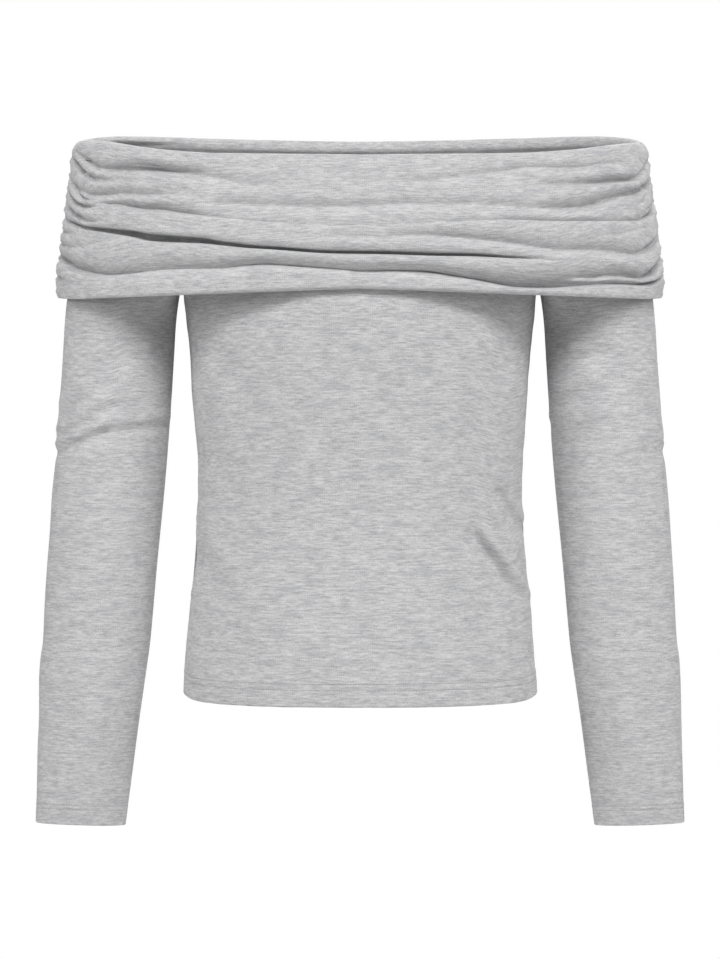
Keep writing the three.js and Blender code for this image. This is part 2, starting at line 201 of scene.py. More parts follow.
def grid_normals(grid, ring):
    """Directions out of a grid of points, which runs round the piece in columns of rows."""
    if ring:
        across = np.roll(grid, -1, 0) - np.roll(grid, 1, 0)
    else:
        across = np.gradient(grid, axis=0)
    normals = np.cross(across, np.gradient(grid, axis=1))
    normals /= np.linalg.norm(normals, axis=2, keepdims=True)
    middle = grid.mean(axis=0, keepdims=True)
    if ((grid - middle) * normals).sum() < 0:
        normals = -normals
    return normals


def flat_places(grid, ring, gathered=False):
    """Where each point lies on the flat cloth: along the courses, and up the wales from the lower edge.
    In gathered cloth every column has the same length, because the same cloth runs into fewer folds."""
    steps_down = np.linalg.norm(np.diff(grid, axis=1), axis=2)
    down = np.concatenate([np.zeros((len(grid), 1)), steps_down.cumsum(axis=1)], axis=1)
    if gathered:
        down = down / down[:, -1:] * down[:, -1].mean()
    else:
        down = down - down[:, -1:] - grid[:, -1:, 2]
    loop = np.concatenate([grid, grid[:1]]) if ring else grid
    steps_round = np.linalg.norm(np.diff(loop, axis=0), axis=2)
    middle_row = np.median(steps_round, axis=1)
    round_it = np.concatenate([[0], middle_row.cumsum()])
    if ring:
        down = np.concatenate([down, down[:1]])
    return np.stack(np.broadcast_arrays(round_it[:, None], down), axis=2) * MM


def shell(name, outer, inner, ring, places):
    """A closed mesh of two grids, the inner one with rows from the bottom up, joined round the edges."""
    loops = np.concatenate([outer, inner], axis=1)
    columns, size = loops.shape[:2]
    count = columns if ring else columns - 1
    i = np.arange(count)[:, None]
    j = np.arange(size)[None, :]
    i_next = (i + 1) % columns
    j_next = (j + 1) % size
    corners = [(i, j), (i_next, j), (i_next, j_next), (i, j_next)]
    faces = np.stack([np.broadcast_to(a * size + b, (count, size)) for a, b in corners], axis=2)
    faces = faces.reshape(-1, 4)
    turned = [(i, j), (i + 1, j), (i + 1, j_next), (i, j_next)]
    spots = np.stack([np.broadcast_to(a * size + b, (count, size)) for a, b in turned], axis=2)
    spots = spots.reshape(-1, 4)
    if not ring:
        rows = outer.shape[1]
        behind = np.round(np.linspace(size - 1, rows, rows)).astype(int)
        caps = []
        for end in (0, (columns - 1) * size):
            for k in range(rows - 1):
                cap = [end + k, end + k + 1, end + behind[k + 1], end + behind[k]]
                caps.append(cap)
        faces = np.concatenate([faces, np.array(caps)])
        spots = np.concatenate([spots, np.array(caps)])
    mesh = bpy.data.meshes.new(name)
    polygons = [list(dict.fromkeys(face)) for face in faces.tolist()]
    mesh.from_pydata((loops.reshape(-1, 3) * MM).tolist(), [], polygons)
    cloth_map = mesh.uv_layers.new(name="cloth")
    flat = places.reshape(-1, 2)
    order = [spot for face, spot_row in zip(faces.tolist(), spots.tolist())
             for spot in dict(zip(face, spot_row)).values()]
    cloth_map.data.foreach_set("uv", flat[order].ravel())
    face_out(mesh)
    mesh.shade_smooth()
    made = bpy.data.objects.new(name, mesh)
    bpy.context.scene.collection.objects.link(made)
    return made


def face_out(mesh):
    """Turns all faces of a closed mesh outwards."""
    work = bmesh.new()
    work.from_mesh(mesh)
    bmesh.ops.recalc_face_normals(work, faces=work.faces)
    if work.calc_volume(signed=True) < 0:
        bmesh.ops.reverse_faces(work, faces=work.faces)
    work.to_mesh(mesh)
    work.free()


def cloth_wall(name, outer, thickness, ring):
    """A shell one thickness deep behind an outer grid, with a rounded lower and upper edge."""
    normals = grid_normals(outer, ring)
    behind = outer - normals * np.reshape(thickness, (1, -1, 1))
    low_edge = (outer[:, -1:] + behind[:, -1:]) / 2 - [[[0, 0, thickness[-1] / 3]]]
    high_edge = (outer[:, :1] + behind[:, :1]) / 2 + [[[0, 0, thickness[0] / 3]]]
    inner = np.concatenate([low_edge, behind[:, ::-1], high_edge], axis=1)
    places = flat_places(outer, ring)
    inner_places = np.concatenate([places[:, -1:], places[:, ::-1], places[:, :1]], axis=1)
    return shell(name, outer, inner, ring, np.concatenate([places, inner_places], axis=1))


def report(piece):
    """Prints how many triangles a piece has, and how much cloth."""
    mesh = piece.data
    mesh.calc_loop_triangles()
    area = sum(polygon.area for polygon in mesh.polygons)
    print(piece.name, len(mesh.loop_triangles), "triangles, half its area is", round(area / 2, 4), "m2")


# %% [markdown]
# The band, the body and the sleeves all meet at the neckline seam, which is hidden under the band. Its
# place follows from the band's own form: a little way down inside the rolled top edge. So the band's
# plain form comes first, as a ring that leans out towards its lower edge.

# %% The ring of the band
BAND = [
    {"z": 14, "half_width": 249, "front": 105, "back": 100},
    {"z": 0, "half_width": 253, "front": 107.5, "back": 102},
    {"z": -10, "half_width": 256.5, "front": 109, "back": 103},
    {"z": -18, "half_width": 257.8, "front": 110, "back": 104},
    {"z": -50, "half_width": 261.8, "front": 113.5, "back": 107},
    {"z": -75, "half_width": 265.5, "front": 115.5, "back": 109},
    {"z": -95, "half_width": 268, "front": 116.5, "back": 110},
    {"z": -112, "half_width": 270.3, "front": 117, "back": 110.5},
    {"z": -126, "half_width": 271, "front": 117.5, "back": 111},
    {"z": -145, "half_width": 268, "front": 117, "back": 111},
]
BAND_TOP = [(0, -21.3), (30, -18.5), (45, -14), (58, -8.5), (68, -5), (80, -2), (90, 1), (105, 6),
            (120, 10), (140, 11.3), (180, 10)]
BAND_BOTTOM = [(0, -137), (35, -141.5), (65, -142.5), (80, -140.5), (90, -138.5), (110, -132),
               (180, -127)]
BAND_ROUNDNESS = 2.1
ROLL_DROP = 15
NECK_SEAM_INSET = 7.6
SEAM_GAP = 0.3


def band_point(turn, z, out):
    """Points at some distance out from the band's plain form."""
    sizes = [column(BAND, "z", name, z) for name in ("half_width", "front", "back")]
    x, y, out_x, out_y = oval(turn, *sizes, BAND_ROUNDNESS)
    return np.stack(np.broadcast_arrays(x + out * out_x, y + out * out_y, z), axis=-1)


def round_band(pairs, turn):
    """A value at some turns round the garment, from a list of pairs of turn and value."""
    if len(pairs) == 1:
        return pairs[0][1] + 0 * turn
    keys, values = zip(*pairs)
    return along(keys, values, turn)


def neck_point(turn):
    """Where the body and the sleeves are sewn to the band."""
    z = round_band(BAND_TOP, np.abs(turn)) - ROLL_DROP - SEAM_GAP
    return band_point(turn, z, -NECK_SEAM_INSET)


print("neckline seam at the front middle:", np.round(neck_point(0.0), 1))

# %% [markdown]
# The armhole is a curve from the underarm up to the neckline seam, and two pulls bend it at its ends.
# The body and the sleeve both end on it, so it is worked out once. Each panel of the body runs from
# one side seam to the other. Its upper rows bend from the neckline and armhole into the plain section
# of the torso.

# %% Torso sizes
TORSO = [
    {"z": -60, "half_width": 157.2, "front": 100, "back": 95.5},
    {"z": -100, "half_width": 157.2, "front": 101, "back": 96},
    {"z": -136, "half_width": 156.5, "front": 101.5, "back": 95.5},
    {"z": -194, "half_width": 151.3, "front": 99.5, "back": 93},
    {"z": -230, "half_width": 148.8, "front": 97, "back": 90},
    {"z": -265, "half_width": 146, "front": 93.5, "back": 87},
    {"z": -310, "half_width": 144, "front": 90, "back": 85},
    {"z": -336, "half_width": 145, "front": 89.5, "back": 86.5},
    {"z": -372, "half_width": 147.5, "front": 91, "back": 91},
    {"z": -408, "half_width": 150.9, "front": 93.5, "back": 95},
    {"z": -443, "half_width": 153.7, "front": 96, "back": 98},
    {"z": -479, "half_width": 157, "front": 98, "back": 100},
    {"z": -498, "half_width": 157.4, "front": 98.4, "back": 100.4},
]
HEM = [(0, -496.3), (30, -496), (60, -494.5), (75, -492), (90, -487)]
TORSO_ROUNDNESS = 2.2
UNDERARM = (0.4, -89)
UNDERARM_PULL = (-2, 38, 0)
NECK_PULL = (-3, -18, -34)
ARMHOLE_TURN = 35
ARMHOLE_SHARE = 0.24
BLEND_END = -172


def armhole_point(share, side, face):
    """The armhole seam from the underarm, share 0, to the neckline, share 1."""
    neck = neck_point(float(ARMHOLE_TURN if face < 0 else 180 - ARMHOLE_TURN))
    under_x = float(column(TORSO, "z", "half_width", UNDERARM[1])) + UNDERARM[0]
    underarm = np.array([under_x, 0, UNDERARM[1]])
    to_face = [1, face, 1]
    low_pull = underarm + np.multiply(UNDERARM_PULL, to_face)
    high_pull = neck + np.multiply(NECK_PULL, to_face)
    t = np.asarray(share, float)[..., None]
    curve = (1 - t) ** 3 * underarm + 3 * t * (1 - t) ** 2 * low_pull
    curve = curve + 3 * t * t * (1 - t) * high_pull + t**3 * neck
    return curve * [side, 1, 1]


print("armhole top at", np.round(armhole_point(1, 1, -1), 1))

# %% [markdown]
# The jersey hangs smooth on the body, with a few soft creases: a slanting fold with a ridge beside it
# at the lower right of the waist, a faint one at the left, and more of the same kind on the back. Each
# is a soft trough between two points, and a negative depth makes a ridge. A roll lifts the cloth above
# the line and sinks it below, as where slack cloth tips over. A crease fades out at both ends. A slow
# uneven swell keeps the rest from looking machined.

# %% Creases in the body
TORSO_CREASES = [
    {"start": (84, -328), "end": (146, -424), "reach": 12, "depth": 4.5},
    {"start": (96, -334), "end": (152, -414), "reach": 3.4, "depth": 0, "roll": 3.8},
    {"start": (102, -334), "end": (157, -412), "reach": 2, "depth": -1.5},
    {"start": (112, -290), "end": (142, -356), "reach": 8, "depth": 3},
    {"start": (118, -296), "end": (148, -348), "reach": 3, "depth": 0, "roll": 2.2},
    {"start": (-152, -346), "end": (-104, -414), "reach": 11, "depth": 2.6, "roll": 1.2},
]
FRONT_SHADES = [
    {"start": (126, -300), "end": (147, -356), "reach": 5, "depth": 1.3},
    {"start": (70, -372), "end": (118, -452), "reach": 14, "depth": 1.2},
    {"start": (-152, -268), "end": (-96, -306), "reach": 11, "depth": 1.1},
    {"start": (-60, -330), "end": (-20, -440), "reach": 22, "depth": 0.9},
    {"start": (20, -178), "end": (60, -300), "reach": 26, "depth": 0.8},
    {"start": (-148, -158), "end": (-100, -232), "reach": 13, "depth": 1.6},
    {"start": (150, -156), "end": (112, -226), "reach": 12, "depth": 1.6},
]
BACK_SHADES = [
    {"start": (-142, -318), "end": (-62, -352), "reach": 10, "depth": 2.2},
    {"start": (52, -338), "end": (140, -316), "reach": 9, "depth": 2.4},
    {"start": (-120, -352), "end": (-30, -378), "reach": 9, "depth": 1.6},
    {"start": (30, -372), "end": (118, -350), "reach": 8, "depth": 1.5},
    {"start": (-150, -160), "end": (-104, -236), "reach": 12, "depth": 1.8},
    {"start": (150, -158), "end": (108, -232), "reach": 12, "depth": 1.7},
    {"start": (-20, -420), "end": (26, -300), "reach": 20, "depth": 0.9},
]


def pulled_in(creases, x, z):
    """How far creases pull the cloth in at some places."""
    depth = 0
    for crease in creases:
        (x0, z0), (x1, z1) = crease["start"], crease["end"]
        length = math.hypot(x1 - x0, z1 - z0)
        t = ((x - x0) * (x1 - x0) + (z - z0) * (z1 - z0)) / length**2
        aside = ((x - x0) * (z1 - z0) - (z - z0) * (x1 - x0)) / length / crease["reach"]
        above = -aside if x1 > x0 else aside
        rolled = crease.get("roll", 0) * above * np.exp(0.5 - above**2 / 2)
        fade = smooth(3 * t) * smooth(3 * (1 - t))
        depth = depth + fade * (crease["depth"] * np.exp(-(aside**2)) - rolled)
    return depth


def other_side(creases):
    """The same creases on the other side of the garment."""
    return [{**c, "start": (-c["start"][0], c["start"][1]), "end": (-c["end"][0], c["end"][1])}
            for c in creases]


print(len(TORSO_CREASES + FRONT_SHADES), "creases in front and", len(BACK_SHADES), "more behind")

# %% [markdown]
# The hem and the cuffs are turned up once and sewn with two close rows of stitches. The cloth dips a
# little at each row and stands out between them and below, where it is double.

# %% Turned-up edges
HEM_STITCH_ROWS = (14, 19.4)
CUFF_STITCH_ROWS = (13, 16.8)
HEM_TURN_UP = 21
CUFF_TURN_UP = 18
HEM_WALL = 2.2
TURN_UP_LIFT = 0.3
EDGE_ROWS = 28
DIP_DEPTH = 0.35
DIP_REACH = 0.9
outsides = {}


def stitched_edge(above_edge, stitch_rows, turn_up):
    """How far a turned-up edge moves out: double cloth below the turn-up, with a dip at each row."""
    out = TURN_UP_LIFT * smooth((turn_up + 1.5 - above_edge) / 3)
    for row in stitch_rows:
        out = out - DIP_DEPTH * np.exp(-(((above_edge - row) / DIP_REACH) ** 2))
    return out


def blend_rows(rim, plain_at, blend_count, plain_count, edge, turn_up):
    """Heights down each column, and the grid that bends from the rim into the plain section."""
    t = np.linspace(0, 1, blend_count)[None, :]
    upper = rim[:, 2:3] * (1 - t) + BLEND_END * t
    s = np.linspace(0, 1, plain_count + 1)[None, 1:]
    turn = edge[:, None] + turn_up + 2
    middle = BLEND_END * (1 - s) + turn * s
    e = np.linspace(0, 1, EDGE_ROWS + 1)[None, 1:]
    lower = turn * (1 - e) + edge[:, None] * e
    z = np.concatenate([upper, middle, lower], axis=1)
    hold = 1 - smooth((rim[:, 2:3] - z) / (rim[:, 2:3] - BLEND_END))
    at_rim = plain_at(rim[:, 2:3])
    grid = plain_at(z)
    grid[..., 0] += (rim[:, None, 0] - at_rim[..., 0]) * hold
    grid[..., 1] += (rim[:, None, 1] - at_rim[..., 1]) * hold
    return grid


def double_below(grid, edge, turn_up, wall):
    """Cloth thickness down the rows of a piece: more where the edge is turned up."""
    above = np.median(grid[..., 2] - edge[:, None], axis=0)
    return JERSEY + (wall - JERSEY) * smooth((turn_up + 0.6 - above) / 1.2)


print("stitch rows", HEM_STITCH_ROWS, "mm above the hem and", CUFF_STITCH_ROWS, "mm above a cuff")

# %% Body panels
FRONT_SWELL = {"height": -150, "reach": 48, "out": 3.6, "turn": 38}
WIDE_SWELL = {"out": 0.5, "size": 70}
SMALL_SWELL = {"out": 0.18, "size": 24}
TORSO_COLUMNS = 150
TORSO_BLEND_ROWS = 44
TORSO_PLAIN_ROWS = 104
SIDE_SEAM_DIP = 0.8
SIDE_SEAM_REACH = 0.012


def body_panel(name, face, creases, seed):
    """The front or back of the body. Face -1 is the front."""
    across = np.linspace(-1, 1, TORSO_COLUMNS + 1)
    share = np.abs(across)
    direction = np.where(across < 0, -1.0, 1.0)
    neck_share = 1 - ARMHOLE_SHARE
    turn = 90 * share
    section = turn if face < 0 else 180 - turn
    ring_turn = np.minimum(share / neck_share, 1) * ARMHOLE_TURN
    neck = neck_point(ring_turn if face < 0 else 180 - ring_turn)
    hole = armhole_point(np.clip((1 - share) / ARMHOLE_SHARE, 0, 1), 1, face)
    rim = np.where((share <= neck_share)[:, None], neck, hole)
    rim[:, 0] -= SEAM_GAP * smooth(share / neck_share)
    rim *= np.stack([direction, np.ones_like(share), np.ones_like(share)], axis=1)
    edge = round_band(HEM, turn)

    def plain_at(z):
        sizes = [column(TORSO, "z", key, z) for key in ("half_width", "front", "back")]
        x, y, out_x, out_y = oval(section[:, None], *sizes, TORSO_ROUNDNESS)
        x_seen = direction[:, None] * x
        inward = pulled_in(creases, x_seen, z)
        inward = inward - WIDE_SWELL["out"] * drift(x_seen, z, WIDE_SWELL["size"], seed)
        inward = inward - SMALL_SWELL["out"] * drift(x_seen, z, SMALL_SWELL["size"], seed + 1)
        if face < 0:
            swell = np.exp(-(((z - FRONT_SWELL["height"]) / FRONT_SWELL["reach"]) ** 2))
            middle = np.exp(-((turn[:, None] / FRONT_SWELL["turn"]) ** 2))
            inward = inward - FRONT_SWELL["out"] * swell * middle
        inward = inward + SIDE_SEAM_DIP * np.exp(-((1 - share[:, None]) / SIDE_SEAM_REACH))
        inward = inward - stitched_edge(z - edge[:, None], HEM_STITCH_ROWS, HEM_TURN_UP)
        return np.stack([direction[:, None] * (x - inward * out_x), y - inward * out_y, z], axis=2)

    grid = blend_rows(rim, plain_at, TORSO_BLEND_ROWS, TORSO_PLAIN_ROWS, edge, HEM_TURN_UP)
    grid[..., 1] += face * SEAM_GAP / 2
    outsides[name] = (grid, edge)
    return cloth_wall(name, grid, double_below(grid, edge, HEM_TURN_UP, HEM_WALL), False)


body_front = body_panel("body_front_cloth", -1, TORSO_CREASES + FRONT_SHADES, 11)
body_back = body_panel("body_back_cloth", 1, other_side(TORSO_CREASES) + BACK_SHADES, 23)
for piece in (body_front, body_back):
    report(piece)

# %% [markdown]
# A sleeve is a tube that gets narrower towards the cuff. The angle round it starts at the side next to
# the body and passes the front first. For a part of the circle its top ends on the armhole, and for the
# rest on the neckline, under the band. The left sleeve has a group of slanting creases at the elbow,
# where the cloth rolls over a little, and the right one a few shallow ones. The back of each sleeve
# has the other one's creases.

# %% Sleeve sizes
SLEEVE = [
    {"z": -80, "centre": 211, "half_width": 49.6, "half_depth": 47, "forward": 0},
    {"z": -142, "centre": 212.4, "half_width": 49.4, "half_depth": 46, "forward": 0},
    {"z": -230, "centre": 217.5, "half_width": 49.6, "half_depth": 45, "forward": 0},
    {"z": -301, "centre": 223, "half_width": 49.8, "half_depth": 43, "forward": 1},
    {"z": -372, "centre": 228.8, "half_width": 48.8, "half_depth": 40.5, "forward": 3},
    {"z": -443, "centre": 234, "half_width": 47.8, "half_depth": 37, "forward": 5},
    {"z": -461, "centre": 236.2, "half_width": 47.7, "half_depth": 36, "forward": 6},
    {"z": -514, "centre": 240.6, "half_width": 44.6, "half_depth": 31, "forward": 8},
    {"z": -568, "centre": 244.6, "half_width": 41.7, "half_depth": 24, "forward": 10},
    {"z": -607, "centre": 248, "half_width": 39.8, "half_depth": 18, "forward": 11},
]
CUFF_OUTER = -603.5
CUFF_INNER = -606
SLEEVE_ROUNDNESS = 2
ARMHOLE_ANGLE = 48
CUFF_WALL = 2.0

LEFT_CREASES = [
    {"start": (-282, -278), "end": (-208, -249), "reach": 4.2, "depth": 1.2, "roll": 3.2},
    {"start": (-240, -258), "end": (-156, -247), "reach": 4.2, "depth": 0.8, "roll": 2.2},
    {"start": (-276, -264), "end": (-222, -238), "reach": 4, "depth": 1, "roll": 2.6},
    {"start": (-254, -243), "end": (-204, -229), "reach": 4.4, "depth": 0.6, "roll": 1.8},
    {"start": (-272, -241), "end": (-228, -220), "reach": 4.6, "depth": 0.4, "roll": 1.4},
    {"start": (-262, -310), "end": (-196, -290), "reach": 10, "depth": 1.2},
    {"start": (-254, -420), "end": (-206, -470), "reach": 14, "depth": 1.0},
    {"start": (-186, -170), "end": (-230, -214), "reach": 12, "depth": 1.3},
]
RIGHT_CREASES = [
    {"start": (166, -196), "end": (232, -180), "reach": 5, "depth": 0.8, "roll": 1.3},
    {"start": (166, -232), "end": (226, -214), "reach": 7, "depth": 0.8, "roll": 1.2},
    {"start": (168, -262), "end": (232, -244), "reach": 8, "depth": 0.8, "roll": 1.1},
    {"start": (292, -262), "end": (218, -284), "reach": 7, "depth": 1.0, "roll": 1.2},
    {"start": (270, -300), "end": (206, -322), "reach": 10, "depth": 1.3},
    {"start": (200, -408), "end": (262, -440), "reach": 14, "depth": 1.1},
    {"start": (184, -168), "end": (232, -210), "reach": 12, "depth": 1.3},
    {"start": (222, -500), "end": (270, -470), "reach": 12, "depth": 0.8},
]
print(len(LEFT_CREASES), "creases in the left sleeve and", len(RIGHT_CREASES), "in the right one")

# %% Sleeves
SLEEVE_SWELL = {"out": 0.4, "size": 60, "radius": 47}
SLEEVE_BLEND_ROWS = 44
SLEEVE_PLAIN_ROWS = 124
ARMHOLE_COLUMNS = 13
RING_COLUMNS = 78


def sleeve(name, side, front_creases, back_creases, seed):
    """One sleeve. Side -1 is the left one."""
    t = np.arange(ARMHOLE_COLUMNS) / ARMHOLE_COLUMNS
    r = np.arange(RING_COLUMNS) / RING_COLUMNS
    tube = 360 - 2 * ARMHOLE_ANGLE
    angle = np.concatenate([t * ARMHOLE_ANGLE, ARMHOLE_ANGLE + r * tube, 360 - (1 - t) * ARMHOLE_ANGLE])
    ring = neck_point(side * (ARMHOLE_TURN + r * (180 - 2 * ARMHOLE_TURN)))
    rim = np.concatenate([armhole_point(t, side, -1), ring, armhole_point(1 - t, side, 1)])
    rim[:, 0] += side * SEAM_GAP
    inner = (np.cos(np.radians(angle)) + 1) / 2
    edge = CUFF_OUTER * (1 - inner) + CUFF_INNER * inner

    def plain_at(z):
        keys = ("centre", "half_width", "half_depth", "forward")
        centre, half_width, half_depth, forward = (column(SLEEVE, "z", key, z) for key in keys)
        around = angle[:, None] - 90
        x, y, out_x, out_y = oval(around, half_width, half_depth, half_depth, SLEEVE_ROUNDNESS)
        seen = side * (centre + x)
        front_of_it = smooth((0.12 * half_depth - y) / (0.24 * half_depth))
        inward = pulled_in(front_creases, seen, z) * front_of_it
        inward = inward + pulled_in(back_creases, seen, z) * (1 - front_of_it)
        slack = SLEEVE_SWELL["out"] * np.sin(np.radians(angle[:, None] / 2))
        round_it = np.radians(angle[:, None]) * SLEEVE_SWELL["radius"]
        inward = inward - slack * drift(round_it, z, SLEEVE_SWELL["size"], seed)
        inward = inward - stitched_edge(z - edge[:, None], CUFF_STITCH_ROWS, CUFF_TURN_UP)
        return np.stack([side * (centre + x - inward * out_x), y - inward * out_y - forward, z], axis=2)

    grid = blend_rows(rim, plain_at, SLEEVE_BLEND_ROWS, SLEEVE_PLAIN_ROWS, edge, CUFF_TURN_UP)
    outsides[name] = (grid, edge)
    return cloth_wall(name, grid, double_below(grid, edge, CUFF_TURN_UP, CUFF_WALL), True)


sleeve_left = sleeve("sleeve_left_cloth", -1, LEFT_CREASES, other_side(RIGHT_CREASES), 31)
sleeve_right = sleeve("sleeve_right_cloth", 1, RIGHT_CREASES, other_side(LEFT_CREASES), 47)
for piece in (sleeve_left, sleeve_right):
    report(piece)
